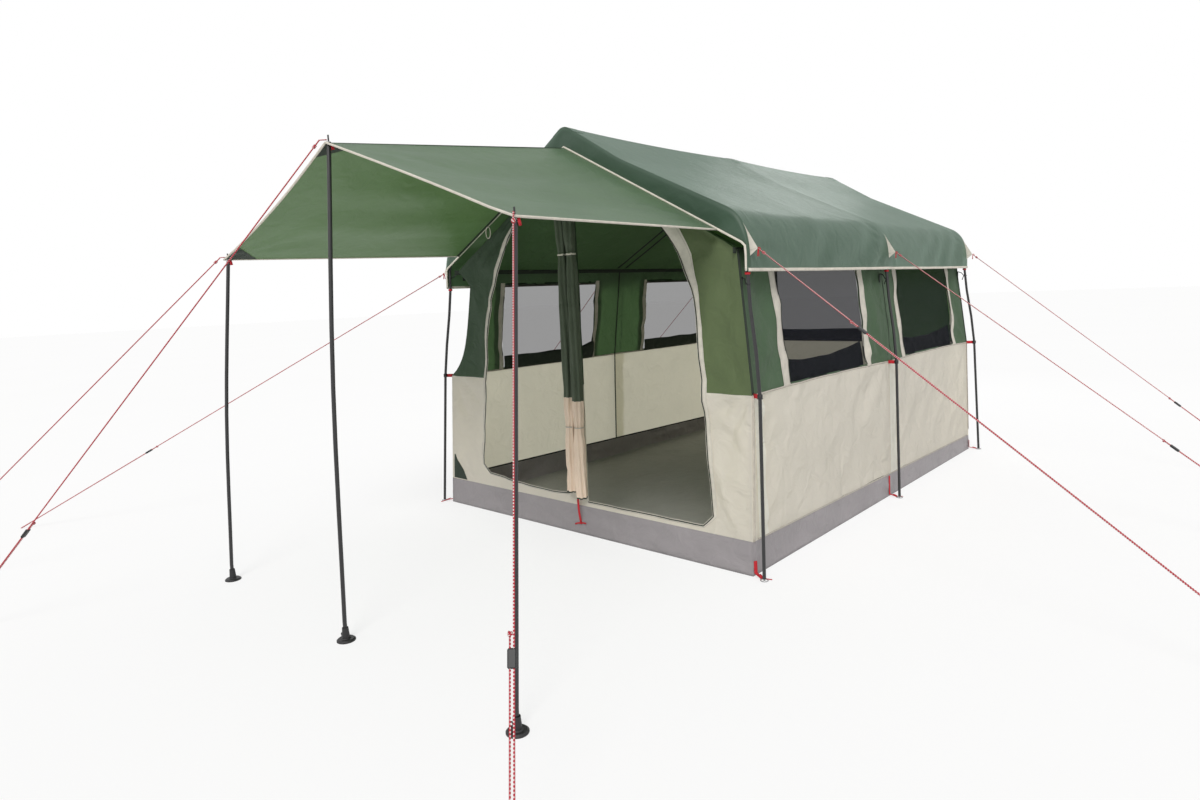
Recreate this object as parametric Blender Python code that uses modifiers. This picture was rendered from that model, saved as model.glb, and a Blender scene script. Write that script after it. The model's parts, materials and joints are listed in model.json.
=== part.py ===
"""Family tent: a cabin on three pole arches, its fly, a porch canopy on three poles and nine guy ropes.

Metres, +Z up. The origin is on the ground at the middle of the cabin's floor. The door faces -Y, so the
porch is in front of it, and +X is on the right of someone who stands in the porch and faces the cabin.
"""
import math

import bmesh
import bpy
from mathutils import Matrix, Vector

# Frame
HALF_WIDTH = 1.146  # leg feet, from the centre line
HALF_DEPTH = 1.573  # front and rear leg feet, from the cabin's middle
MIDDLE_Y = 0.04  # the middle arch, whose feet stand at y 0
LEG_END_Z = 0.010  # a leg stands on its pin, just above the ground
WAIST_Z = 0.80  # the clip on the leg, and the seam round the walls
HEM_Z = 1.335  # the fly's lower edge
BEND_END_Z = 1.38
SHOULDER_Z = 1.603  # where the bend at a leg's top begins
ROOF_AXIS_Z = 2.05  # where two roof poles would meet over the centre line
WAIST_INSET = 0.038
HEM_INSET = 0.110
SHOULDER_INSET = 0.216
SPLAY_Y = 0.079  # how far the outer arches lean out, from the hem to the feet
POLE_RADIUS = 0.008
POLE_WALL = 0.001
FERRULE_RADIUS = 0.0063
FERRULE_LENGTH = 0.035
LEG_LAP = 0.035  # the straight stretch of a leg above its bend, which takes the ferrule

# Hubs
HUB_RADIUS = 0.034
HUB_DROP = 0.005  # its middle, below the roof poles' meeting point
HUB_WALL = 0.0015
RIDGE_POLE_RISE = 0.010  # above that point
POLE_STOP = 0.012  # a pole's end, from the hub's middle
BORE_PLAY = 0.0012
BOSS_LENGTH = 0.023
BOSS_WALL = 0.003

# Inner tent
CLOTH = 0.003
SEAM_GAP = 0.0005
ROOF_SEAT = 0.005  # the walls' tops, below the inner roof's outer face
BASE_INSET = 0.064  # side wall, inwards of the leg feet
WAIST_WALL_INSET = 0.086
EAVE_INSET = 0.171
BASE_INSET_Y = 0.016
WAIST_INSET_Y = 0.062
EAVE_INSET_Y = 0.095
EAVE_Z = 1.44
INNER_RIDGE_DROP = 0.065  # below the roof poles' meeting point
WALL_SAG = 0.030  # a side wall is drawn in between the arches
ROOF_SAG = 0.025
TUB_FRONT_Z = 0.155
TUB_REAR_Z = 0.105

# Door
DOOR_HALVES = {"left": 0.70, "right": 0.78}  # where the arch begins, from the centre line
DOOR_FEET = {"left": 0.758, "right": 0.867}  # the jambs' lower ends
DOOR_SPRING_Z = 1.0
DOOR_HEAD = 0.155  # cloth between the arch's top and the inner ridge
DOOR_CHAMFER = 0.05
DOOR_SILLS = {"left": 0.235, "right": 0.185}
STRIP_HALF = 0.045  # the cloth left between the two openings
ROLLS_FOOT_X = 0.0475  # half way between the two rolls, which lean
ROLLS_LEAN = 0.049  # sideways, for each metre of height
ROLL_RADIUS = 0.027
ROLL_SPREAD = 0.0285  # from a roll's middle to half way between the two
ROLL_TIES = {1.472: 0.78, 0.58: 0.80}  # the ties' heights, and the share of the radius there
ROLL_TIE_REACH = 0.06
ROLL_FOLD = 0.05  # how uneven its surface is, as a share of its radius
ROLL_HEAD = 0.12  # a roll's top, below the arch's top
ROLL_BOTTOM_Z = 0.205

# Windows, the same on both side walls
WINDOW_MARGINS = {"front": (0.374, 0.290), "rear": (0.315, 0.249)}  # from the arch in front, and behind
WINDOW_SILL = 0.012  # above the waist seam
WINDOW_RISE = 0.012  # above the fly's hem, behind its skirt
WINDOW_CORNER = 0.02
NET = 0.002
NET_GAP = 0.001
CURTAIN_DROOP = (0.100, 0.125)  # its upper edge, above the waist seam at its front and rear end
CURTAIN_GAP = 0.010
CURTAIN_FOLD = 0.006

# Fly
FLY_GAP = 0.004
FLY_HUB_GAP = 0.002
FLY_RIDGE_RISE = 0.050  # above the roof poles' meeting point
HUB_DRAPE = (0.035, 0.008)  # the fly over a hub, this far out and this far below the ridge
RIDGE_DIP = 0.020  # the ridge, lower between the hubs
RIDGE_HALF = 0.11  # how far out that dip reaches
FLY_SAG = 0.012
FLY_FOLD = 0.006
VALANCE = 0.105
VALANCE_FLARE = 0.018  # deeper by this at the canopy's corners
VALANCE_HEM = 0.013
TAB_TIP_OUT = 0.038
TAB_TIP_Z = 1.427

# Porch
PORCH_Y = 2.85  # pole tops, forward of the origin
PORCH_FOOT_Y = 3.00
PORCH_TOPS = {"left": (-0.895, 1.495), "centre": (0.10, 1.857), "right": (1.09, 1.495)}
PORCH_FEET = {"left": -0.87, "centre": 0.165, "right": 1.14}
CANOPY_REAR_HALF = 0.898
CANOPY_REAR_DROP = 0.050  # below the roof poles' meeting point
CANOPY_REAR_STEEPER = 0.055  # its rear edge falls more steeply than the roof poles
CANOPY_GAP = 0.003
CANOPY_MARGIN = 0.013  # cloth in front of the spikes
CANOPY_SAG = 0.035
SPIKE_RADIUS = 0.003
SPIKE_LENGTH = 0.030
EYELET_RADIUS = 0.005
POLE_BOWS = {"left": 0.015, "centre": 0.015, "right": 0.0}
DISC_RADIUS = 0.0355
DISC_EDGE = 0.004
DISC_TOP = 0.009
SLEEVE_HEIGHT = 0.052
SLEEVE_WALL = 0.003
SLEEVE_FLOOR = 0.012
SLEEVE_PLAY = 0.0018
PEG_EYE_RADIUS = 0.0075

# Guy ropes
ROPE_RADIUS = 0.0025
STRAND_SPACING = 0.009
PEG_LOOP_RADIUS = 0.012
PEG_LOOP_LENGTH = 0.10
TAIL = 0.035
SLIDER = (0.021, 0.010, 0.044)
SLIDER_PLAY = 0.0007
SIDE_GUYS = {  # how far out the peg is, how far along the slider is
    "front_right": (1.89, 0.0, 0.24),
    "middle_right": (1.90, 0.0, 0.70),
    "rear_right": (1.75, 0.0, 0.70),
    "front_left": (1.80, -1.95, 0.70),
    "middle_left": (1.50, 0.0, 0.70),
    "rear_left": (1.50, 0.0, 0.70),
}
PORCH_GUYS = {"left": (-1.24, -1.24, 0.70), "centre": (-1.34, -1.13, 0.78), "right": (0.61, -0.66, 0.685)}

COLOURS = {
    "pole": (0.012, 0.012, 0.013),
    "plastic": (0.010, 0.010, 0.011),
    "tub": (0.16, 0.155, 0.16),
    "wall": (0.50, 0.44, 0.38),
    "net": (0.30, 0.30, 0.32),
    "curtain": (0.03, 0.06, 0.04),
    "fly": (0.16, 0.27, 0.20),
    "canopy": (0.14, 0.27, 0.17),
    "rope": (0.60, 0.20, 0.22),
}
ROUGHNESS = {"pole": 0.4, "plastic": 0.45}


def collection(name):
    found = bpy.data.collections.new(name)
    bpy.context.scene.collection.children.link(found)
    return found


def material(kind):
    found = bpy.data.materials.get(kind)
    if found is None:
        found = bpy.data.materials.new(kind)
        found.use_nodes = True
        shader = found.node_tree.nodes["Principled BSDF"]
        shader.inputs["Base Color"].default_value = (*COLOURS[kind], 1)
        shader.inputs["Roughness"].default_value = ROUGHNESS.get(kind, 0.85)
        shader.inputs["Metallic"].default_value = 0
    return found


def place(data, name, kind):
    """A new object of the model."""
    thing = bpy.data.objects.new(name, data)
    data.materials.clear()
    data.materials.append(material(kind))
    PARTS.objects.link(thing)
    return thing


def guide(data, name):
    """A cutter, or a shape that a Boolean joins: it isn't a piece of its own."""
    thing = bpy.data.objects.new(name, data)
    thing.hide_render = True
    thing.display_type = "WIRE"
    CUTTERS.objects.link(thing)
    return thing


def boolean(thing, other, operation):
    step = thing.modifiers.new(operation.title(), "BOOLEAN")
    step.operation = operation
    step.object = other


def mesh_of(curve):
    """The closed mesh that a curve object makes, with the curve removed."""
    bpy.context.view_layer.update()
    evaluated = curve.evaluated_get(bpy.context.evaluated_depsgraph_get())
    mesh = bpy.data.meshes.new_from_object(evaluated)
    mesh.transform(curve.matrix_world)
    built = bmesh.new()
    built.from_mesh(mesh)
    bmesh.ops.remove_doubles(built, verts=built.verts, dist=1e-5)
    built.to_mesh(mesh)
    built.free()
    bpy.data.objects.remove(curve)
    return mesh


def shade(mesh):
    mesh.shade_smooth()
    mesh.set_sharp_from_angle(angle=math.radians(35))


def tube_curve(points, radius, sides, caps, shares):
    curve = bpy.data.curves.new("tube", "CURVE")
    curve.dimensions = "3D"
    curve.bevel_depth = radius
    curve.bevel_resolution = (sides - 4) // 2
    curve.use_fill_caps = caps
    spline = curve.splines.new("POLY")
    spline.points.add(len(points) - 1)
    for i, (slot, point) in enumerate(zip(spline.points, points)):
        slot.co = (*point, 1)
        slot.radius = shares[i] if shares else 1
    return curve


def tube(name, points, radius, kind, sides=8, shares=None):
    """A round bar along the points, as thick as each point's share of the radius."""
    return place(tube_curve(points, radius, sides, True, shares), name, kind)


def hollow_tube(name, points, kind, sides=8):
    """A pole that is open at both ends."""
    guide_curve = guide(tube_curve(points, POLE_RADIUS, sides, False, None), name + "_path")
    mesh = mesh_of(guide_curve)
    shade(mesh)
    pole = place(mesh, name, kind)
    wall = pole.modifiers.new("Wall", "SOLIDIFY")
    wall.thickness = POLE_WALL
    wall.offset = -1
    return pole


def outline_prism(name, outline, depth, matrix):
    """A flat outline made a prism of this depth, as a hidden guide."""
    curve = bpy.data.curves.new(name, "CURVE")
    curve.dimensions = "2D"
    curve.fill_mode = "BOTH"
    curve.extrude = depth / 2
    spline = curve.splines.new("POLY")
    spline.points.add(len(outline) - 1)
    spline.use_cyclic_u = True
    for slot, (across, up) in zip(spline.points, outline):
        slot.co = (across, up, 0, 1)
    holder = guide(curve, name + "_outline")
    holder.matrix_world = matrix
    return guide(mesh_of(holder), name)


def cylinder(radius, start, end, sides=12):
    """The mesh of a round bar from one point to another."""
    built = bmesh.new()
    along = end - start
    turn = along.to_track_quat("Z", "Y").to_matrix().to_4x4()
    middle = Matrix.Translation((start + end) / 2) @ turn
    bmesh.ops.create_cone(
        built, cap_ends=True, segments=sides, radius1=radius, radius2=radius,
        depth=along.length, matrix=middle,
    )
    mesh = bpy.data.meshes.new("cylinder")
    built.to_mesh(mesh)
    built.free()
    shade(mesh)
    return mesh


def cylinder_guide(name, radius, start, end, sides=12):
    return guide(cylinder(radius, start, end, sides), name)


def evenly(start, end, spans):
    return [start + (end - start) * step / spans for step in range(spans + 1)]


def lattice(columns, rows, point):
    """A grid whose corner for each column and row value is where point puts it."""
    built = bmesh.new()
    bmesh.ops.create_grid(built, x_segments=len(columns) - 1, y_segments=len(rows) - 1, size=1)
    for corner in built.verts:
        i = round((corner.co.x + 1) / 2 * (len(columns) - 1))
        j = round((corner.co.y + 1) / 2 * (len(rows) - 1))
        corner.co = point(columns[i], rows[j])
    mesh = bpy.data.meshes.new("lattice")
    built.to_mesh(mesh)
    built.free()
    shade(mesh)
    return mesh


def sheet(name, columns, rows, point, kind, thickness=CLOTH):
    """Cloth whose outer face is the lattice, with its thickness inwards."""
    cloth = place(lattice(columns, rows, point), name, kind)
    solid = cloth.modifiers.new("Thickness", "SOLIDIFY")
    solid.thickness = thickness
    solid.offset = -1
    return cloth


def lofted(name, rings, kind):
    """A closed body through rings of points, with a flat end at the first and the last."""
    built = bmesh.new()
    loops = [[built.verts.new(point) for point in ring] for ring in rings]
    count = len(rings[0])
    for low, high in zip(loops, loops[1:]):
        for i in range(count):
            j = (i + 1) % count
            built.faces.new((low[i], low[j], high[j], high[i]))
    built.faces.new(loops[0])
    built.faces.new(loops[-1])
    bmesh.ops.recalc_face_normals(built, faces=built.faces)
    mesh = bpy.data.meshes.new(name)
    built.to_mesh(mesh)
    built.free()
    shade(mesh)
    return place(mesh, name, kind)


def smooth_path(points, steps):
    """Points of a smooth curve through the given ones, with this many steps to each stretch."""
    points = [Vector(point) for point in points]
    ends = [2 * points[0] - points[1], *points, 2 * points[-1] - points[-2]]
    found = []
    for before, start, end, after in zip(ends, ends[1:], ends[2:], ends[3:]):
        for step in range(steps):
            t = step / steps
            square = 2 * before - 5 * start + 4 * end - after
            cube = 3 * start - before - 3 * end + after
            found.append(start + ((end - before) * t + square * t**2 + cube * t**3) / 2)
    return [*found, points[-1]]


def between(low, high, share):
    return low + (high - low) * share


# The arches: x and z follow one half outline, from over the centre line (0) to the foot (3)

SHOULDER_X = HALF_WIDTH - SHOULDER_INSET
HEM_X = HALF_WIDTH - HEM_INSET
ROOF_SLOPE = (ROOF_AXIS_Z - SHOULDER_Z) / SHOULDER_X
ARCH_Y = HALF_DEPTH - SPLAY_Y
FLY_OFFSET = POLE_RADIUS + FLY_GAP + CLOTH
FLY_Y = ARCH_Y + POLE_RADIUS + BORE_PLAY + HUB_WALL + FLY_HUB_GAP + CLOTH
ARCHES = {"front": (-ARCH_Y, -HALF_DEPTH), "middle": (MIDDLE_Y, 0.0), "rear": (ARCH_Y, HALF_DEPTH)}
SIDES = {"left": -1, "right": 1}
HUB_Z = ROOF_AXIS_Z - HUB_DROP
RIDGE_POLE_Z = ROOF_AXIS_Z + RIDGE_POLE_RISE
INNER_RIDGE_Z = ROOF_AXIS_Z - INNER_RIDGE_DROP
FLY_RIDGE_Z = ROOF_AXIS_Z + FLY_RIDGE_RISE
CANOPY_REAR_RIDGE_Z = ROOF_AXIS_Z - CANOPY_REAR_DROP
CANOPY_REAR_SLOPE = ROOF_SLOPE + CANOPY_REAR_STEEPER
DOOR_TOP_Z = INNER_RIDGE_Z - DOOR_HEAD
ROLL_TOP_Z = DOOR_TOP_Z - ROLL_HEAD
WINDOW_BOTTOM_Z = WAIST_Z + WINDOW_SILL
WINDOW_TOP_Z = HEM_Z + WINDOW_RISE
WINDOW_BAYS = {"front": (-ARCH_Y, MIDDLE_Y), "rear": (MIDDLE_Y, ARCH_Y)}
WINDOWS = {
    name: (WINDOW_BAYS[name][0] + before, WINDOW_BAYS[name][1] - after)
    for name, (before, after) in WINDOW_MARGINS.items()
}


def arch_outline(station):
    """x and z on the right-hand half arch: roof line to 1, bend to 2, leg to 3."""
    if station <= 1:
        return between(0, SHOULDER_X, station), between(ROOF_AXIS_Z, SHOULDER_Z, station)
    if station <= 2:
        t = station - 1
        corner_z = ROOF_AXIS_Z - ROOF_SLOPE * HEM_X
        x = (1 - t) ** 2 * SHOULDER_X + 2 * t * (1 - t) * HEM_X + t**2 * HEM_X
        z = (1 - t) ** 2 * SHOULDER_Z + 2 * t * (1 - t) * corner_z + t**2 * BEND_END_Z
        return x, z
    z = between(BEND_END_Z, LEG_END_Z, station - 2)
    return leg_x(z), z


def leg_x(z):
    """The leg below its bend: upright under the hem, then out to the waist clip and the foot."""
    waist_x = HALF_WIDTH - WAIST_INSET
    if z <= WAIST_Z:
        return between(HALF_WIDTH, waist_x, z / WAIST_Z)
    t = (BEND_END_Z - z) / (BEND_END_Z - WAIST_Z)
    run = WAIST_INSET / WAIST_Z * (BEND_END_Z - WAIST_Z)
    return HEM_X + (waist_x - HEM_X) * (3 * t**2 - 2 * t**3) + run * (t**3 - t**2)


def leg_station(z):
    return 2 + (BEND_END_Z - z) / (BEND_END_Z - LEG_END_Z)


def arch_point(side, arch, station):
    x, z = arch_outline(station)
    top_y, foot_y = ARCHES[arch]
    lean = min(max(1 - z / HEM_Z, 0), 1)
    return Vector((side * x, between(top_y, foot_y, lean), z))


def station_normal(station):
    """The outward direction, in x and z, square to the arch."""
    step = 1e-4
    x0, z0 = arch_outline(station - step)
    x1, z1 = arch_outline(station + step)
    along = Vector((x1 - x0, z1 - z0)).normalized()
    return -along.y, along.x


# Inner tent's surfaces

def bay_share(y):
    """0 at an arch and 1 half way between two."""
    start, end = (-ARCH_Y, MIDDLE_Y) if y < MIDDLE_Y else (MIDDLE_Y, ARCH_Y)
    t = min(max((y - start) / (end - start), 0), 1)
    return 4 * t * (1 - t)


def stepped(z, base, waist, eave):
    if z <= WAIST_Z:
        return between(base, waist, z / WAIST_Z)
    return between(waist, eave, min((z - WAIST_Z) / (EAVE_Z - WAIST_Z), 1))


def tub_top(y):
    return between(TUB_FRONT_Z, TUB_REAR_Z, (y + HALF_DEPTH) / (2 * HALF_DEPTH))


def side_x(y, z):
    """The outer face of the right-hand wall."""
    lift = min(max((z - TUB_FRONT_Z) / (WAIST_Z - TUB_FRONT_Z), 0), 1)
    inset = stepped(z, BASE_INSET, WAIST_WALL_INSET, EAVE_INSET)
    return HALF_WIDTH - inset - WALL_SAG * bay_share(y) * lift


def end_y(z):
    """The outer face of the rear wall, and of the front wall with its sign changed."""
    return HALF_DEPTH - stepped(z, BASE_INSET_Y, WAIST_INSET_Y, EAVE_INSET_Y)


def roof_z(x, y):
    """The outer face of the inner roof."""
    out = min(abs(x) / side_x(y, EAVE_Z), 1)
    sag = ROOF_SAG * bay_share(y) * math.sin(math.pi * out)
    return between(INNER_RIDGE_Z, EAVE_Z, out) - sag


def wall_height(low, top, up):
    """The lower half of a wall's rows stand below the waist seam, and the upper half above it."""
    if up <= 0.5:
        return between(low, WAIST_Z, 2 * up)
    return between(WAIST_Z, top, 2 * up - 1)


def end_wall_point(front, share, up):
    facing = -1 if front else 1
    top_y = facing * end_y(EAVE_Z)
    top = roof_z(share * side_x(top_y, EAVE_Z), top_y) - ROOF_SEAT
    z = wall_height(tub_top(facing * HALF_DEPTH) + SEAM_GAP, top, up)
    y = facing * end_y(z)
    return Vector((-facing * share * side_x(y, z), y, z))


def side_wall_point(side, share, up, inwards=0.0):
    """A point of a side wall. share runs from one end wall to the other."""
    z = wall_height(TUB_FRONT_Z, EAVE_Z - ROOF_SEAT, up)
    reach = end_y(z) - CLOTH - SEAM_GAP
    y = side * share * reach
    z = wall_height(tub_top(y) + SEAM_GAP, EAVE_Z - ROOF_SEAT, up)
    return Vector((side * (side_x(y, z) - inwards), y, z))


def rolls_x(z):
    """Half way between the two rolls, which is also the strip's middle."""
    return ROLLS_FOOT_X - ROLLS_LEAN * (z - ROLL_BOTTOM_Z)


def door_outline(name):
    """One half of the arched door: its sill, a jamb, a quarter ellipse and the edge of the middle strip."""
    side = SIDES[name]
    sill = DOOR_SILLS[name]
    foot = side * DOOR_FEET[name]
    half = side * DOOR_HALVES[name]
    rise = DOOR_TOP_Z - DOOR_SPRING_Z
    strip_foot = rolls_x(sill) + side * STRIP_HALF
    strip_top = rolls_x(DOOR_TOP_Z) + side * STRIP_HALF
    last = math.acos(strip_top / half)
    arch = [(half * math.cos(a), DOOR_SPRING_Z + rise * math.sin(a)) for a in evenly(0, last, 9)]
    corner = [(foot - side * DOOR_CHAMFER, sill), (foot, sill + DOOR_CHAMFER)]
    return [(strip_foot, sill), *corner, *arch]


def round_rectangle(low, high, corner):
    """An outline with round corners, from two opposite corners."""
    found = []
    spots = ((high, high), (low, high), (low, low), (high, low))
    for quarter, (first, second) in enumerate(spots):
        middle_x = first[0] + (-corner if first is high else corner)
        middle_y = second[1] + (-corner if second is high else corner)
        for a in evenly(quarter * math.pi / 2, (quarter + 1) * math.pi / 2, 3):
            found.append((middle_x + corner * math.cos(a), middle_y + corner * math.sin(a)))
    return found


FACING_FRONT = Matrix.Rotation(math.pi / 2, 4, "X")
FACING_SIDE = Matrix.Rotation(math.pi / 2, 4, "Z") @ FACING_FRONT


def build_arches():
    for arch, (top_y, _) in ARCHES.items():
        for name, side in SIDES.items():
            build_leg(arch, name, side)
            build_roof_pole(arch, name, side)
        build_hub(arch, top_y)


def build_leg(arch, name, side):
    lap = 1 - LEG_LAP / math.hypot(SHOULDER_X, ROOF_AXIS_Z - SHOULDER_Z)
    waist = leg_station(WAIST_Z)
    stations = [lap, 1, 1.25, 1.5, 1.75, 2, leg_station(HEM_Z), *evenly(2.15, waist, 2), 3]
    points = [arch_point(side, arch, station) for station in stations]
    hollow_tube(f"leg_{arch}_{name}", points, "pole")


def build_roof_pole(arch, name, side):
    """The pole from the hub to the leg, whose thinner end plugs into the leg."""
    length = math.hypot(SHOULDER_X, ROOF_AXIS_Z - SHOULDER_Z)
    leg_top = 1 - LEG_LAP / length
    first = POLE_STOP / length
    step = 0.0005 / length
    stations = [first, leg_top - step, leg_top - step / 2, leg_top + FERRULE_LENGTH * 0.9 / length]
    points = [arch_point(side, arch, station) for station in stations]
    thin = FERRULE_RADIUS / POLE_RADIUS
    tube(f"roof_pole_{arch}_{name}", points, POLE_RADIUS, "pole", shares=[1, 1, thin, thin])


def build_hub(arch, y):
    """A thick disc in the arch's plane, bored for the roof poles, with a bored boss for each ridge pole."""
    bore = POLE_RADIUS + BORE_PLAY
    half = bore + HUB_WALL
    deep = Vector((0, half, 0))
    middle = Vector((0, y, HUB_Z))
    hub = place(cylinder(HUB_RADIUS, middle - deep, middle + deep, 20), f"hub_{arch}", "plastic")
    ridge = Vector((0, y, RIDGE_POLE_Z))
    ways = [Vector((0, 1, 0))] if arch == "front" else [Vector((0, -1, 0))]
    if arch == "middle":
        ways = [Vector((0, 1, 0)), Vector((0, -1, 0))]
    for way in ways:
        boss = (ridge + way * half / 2, ridge + way * (half + BOSS_LENGTH))
        boolean(hub, cylinder_guide(f"boss_{arch}_{way.y:.0f}", bore + BOSS_WALL, *boss), "UNION")
    for way in ways:
        hole = (ridge + way * (POLE_STOP - 0.0008), ridge + way * 3 * HUB_RADIUS)
        boolean(hub, cylinder_guide(f"ridge_bore_{arch}_{way.y:.0f}", bore, *hole), "DIFFERENCE")
    heart = Vector((0, y, ROOF_AXIS_Z))
    for name, side in SIDES.items():
        way = Vector((side, 0, -ROOF_SLOPE)).normalized()
        hole = (heart + way * (POLE_STOP - 0.001), heart + way * 2 * HUB_RADIUS)
        boolean(hub, cylinder_guide(f"bore_{arch}_{name}", bore, *hole), "DIFFERENCE")


def turned(name, profile, spot, kind, steps):
    """A turned piece. The profile runs up the inside and down the outer side."""
    built = bmesh.new()
    corners = [built.verts.new((radius, 0, z)) for radius, z in profile]
    for low, high in zip(corners, corners[1:]):
        built.edges.new((low, high))
    mesh = bpy.data.meshes.new(name)
    built.to_mesh(mesh)
    built.free()
    thing = place(mesh, name, kind)
    thing.location = (*spot, 0)
    screw = thing.modifiers.new("Turn", "SCREW")
    screw.steps = screw.render_steps = steps
    screw.use_merge_vertices = True
    screw.merge_threshold = 1e-5
    screw.use_smooth_shade = True
    return thing


def build_ridge_poles():
    spots = [ARCHES["front"][0], ARCHES["middle"][0], ARCHES["rear"][0]]
    for name, start, end in (("front", *spots[:2]), ("rear", *spots[1:])):
        ends = [Vector((0, start + POLE_STOP, RIDGE_POLE_Z)), Vector((0, end - POLE_STOP, RIDGE_POLE_Z))]
        tube(f"ridge_pole_{name}", ends, POLE_RADIUS, "pole")


def build_floor():
    """The groundsheet, a shallow tub whose rim is higher at the front."""
    built = bmesh.new()
    bmesh.ops.create_cube(built, size=2)
    for corner in built.verts:
        across, along, up = corner.co
        y = along * end_y(0)
        z = tub_top(along * HALF_DEPTH) if up > 0 else 0.0
        corner.co = (across * side_x(y, z), along * end_y(z), z)
    top = [face for face in built.faces if face.normal.z > 0.5]
    bmesh.ops.delete(built, geom=top, context="FACES_ONLY")
    mesh = bpy.data.meshes.new("floor_tub")
    built.to_mesh(mesh)
    built.free()
    tub = place(mesh, "floor_tub", "tub")
    wall = tub.modifiers.new("Thickness", "SOLIDIFY")
    wall.thickness = CLOTH
    wall.offset = -1
    wall.use_even_offset = True


def build_end_walls():
    columns = evenly(-1, 1, 14)
    rows = evenly(0, 1, 10)
    front = sheet("front_wall", columns, rows, lambda share, up: end_wall_point(True, share, up), "wall")
    sheet("rear_wall", evenly(-1, 1, 8), evenly(0, 1, 6), lambda s, up: end_wall_point(False, s, up), "wall")
    at_front = Matrix.Translation((0, -end_y(EAVE_Z), 0)) @ FACING_FRONT
    for name in SIDES:
        boolean(front, outline_prism(f"door_cut_{name}", door_outline(name), 0.3, at_front), "DIFFERENCE")


def window_cutter(name, side, ends, inset):
    low = (ends[0] + inset, WINDOW_BOTTOM_Z + inset)
    high = (ends[1] - inset, WINDOW_TOP_Z - inset)
    outline = round_rectangle(low, high, WINDOW_CORNER)
    spot = Matrix.Translation((side * side_x(0, WAIST_Z), 0, 0))
    return outline_prism(name, outline, 0.4, spot @ FACING_SIDE)


def build_side_walls():
    for name, side in SIDES.items():
        wall = sheet(
            f"{name}_wall", evenly(-1, 1, 14), evenly(0, 1, 8),
            lambda share, up: side_wall_point(side, share, up), "wall",
        )
        for place_name, ends in WINDOWS.items():
            boolean(wall, window_cutter(f"window_{name}_{place_name}", side, ends, 0), "DIFFERENCE")
            build_window(f"{name}_{place_name}", side, ends)


def build_window(name, side, ends):
    """A net that fills its opening, and the curtain that hangs let down behind it."""
    margin = 0.03
    rows = evenly(WINDOW_BOTTOM_Z - margin, WINDOW_TOP_Z + margin, 3)
    columns = evenly(ends[0] - margin, ends[1] + margin, 6)[:: side]
    inwards = (CLOTH - NET) / 2
    net = sheet(
        f"window_net_{name}", columns, rows,
        lambda y, z: Vector((side * (side_x(y, z) - inwards), y, z)), "net", NET,
    )
    boolean(net, window_cutter(f"net_edge_{name}", side, ends, NET_GAP), "INTERSECT")

    def curtain_point(y, up):
        along = (y - ends[0]) / (ends[1] - ends[0])
        top = WAIST_Z + between(*CURTAIN_DROOP, along**2)
        z = between(WAIST_Z, top, up)
        fold = CURTAIN_FOLD * math.sin(5 * math.pi * along + 4 * up)
        gap = CLOTH + CURTAIN_GAP + CURTAIN_FOLD
        return Vector((side * (side_x(y, z) - gap - fold), y, z))

    sheet(f"window_curtain_{name}", evenly(*ends, 14)[:: side], evenly(0, 1, 3), curtain_point, "curtain")


def build_inner_roof():
    reach = end_y(EAVE_Z)

    def point(share, y):
        x = share * side_x(y, EAVE_Z)
        return Vector((x, y, roof_z(x, y)))

    sheet("inner_roof", evenly(-1, 1, 10), evenly(-reach, reach, 12), point, "wall")


def roll_share(z):
    """A roll's thickness at this height, as a share of its full one."""
    tied = [(1 - neck) * math.exp(-(((z - at) / ROLL_TIE_REACH) ** 2)) for at, neck in ROLL_TIES.items()]
    return 1 - sum(tied)


def build_rolls():
    """The two door panels, rolled up against the strip between the openings and tied in two places."""
    for name, side in SIDES.items():
        rings = []
        for z in evenly(ROLL_BOTTOM_Z, ROLL_TOP_Z, 20):
            mean = ROLL_RADIUS * roll_share(z)
            x = rolls_x(z) + side * ROLL_SPREAD
            y = -end_y(z) - SEAM_GAP - CLOTH - ROLL_RADIUS * (1 + ROLL_FOLD)
            ring = []
            for a in evenly(0, 2 * math.pi, 12)[:-1]:
                radius = mean * (1 + ROLL_FOLD * math.cos(3 * a + 4 * z))
                ring.append((x + radius * math.cos(a), y + radius * math.sin(a), z))
            rings.append(ring)
        lofted(f"door_roll_{name}", rings, "curtain")


# Fly

def fly_section():
    """Outer points and outward directions in x and z, from the left hem over the ridge to the right one."""
    half = [((HUB_DRAPE[0], FLY_RIDGE_Z - HUB_DRAPE[1]), (0.3, 0.954))]
    for station in (0.12, 0.32, 0.54, 0.76, 0.92, 1.15, 1.35, 1.55, 1.75, 1.95, leg_station(HEM_Z)):
        x, z = arch_outline(station)
        out = station_normal(station)
        half.append(((x + FLY_OFFSET * out[0], z + FLY_OFFSET * out[1]), out))
    mirrored = [((-x, z), (-nx, nz)) for (x, z), (nx, nz) in reversed(half)]
    return [*mirrored, ((0, FLY_RIDGE_Z), (0, 1)), *half]


def fly_depth(i, section):
    """How deep the valance hangs at a point of the section, full on the roof and shallow at the hem."""
    run = sum(
        math.dist(section[j][0], section[j + 1][0])
        for j in (range(i) if i < len(section) // 2 else range(i, len(section) - 1))
    )
    flare = VALANCE_FLARE * (section[i][0][0] / CANOPY_REAR_HALF) ** 2
    return min(VALANCE + flare, VALANCE_HEM + 0.45 * run)


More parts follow.
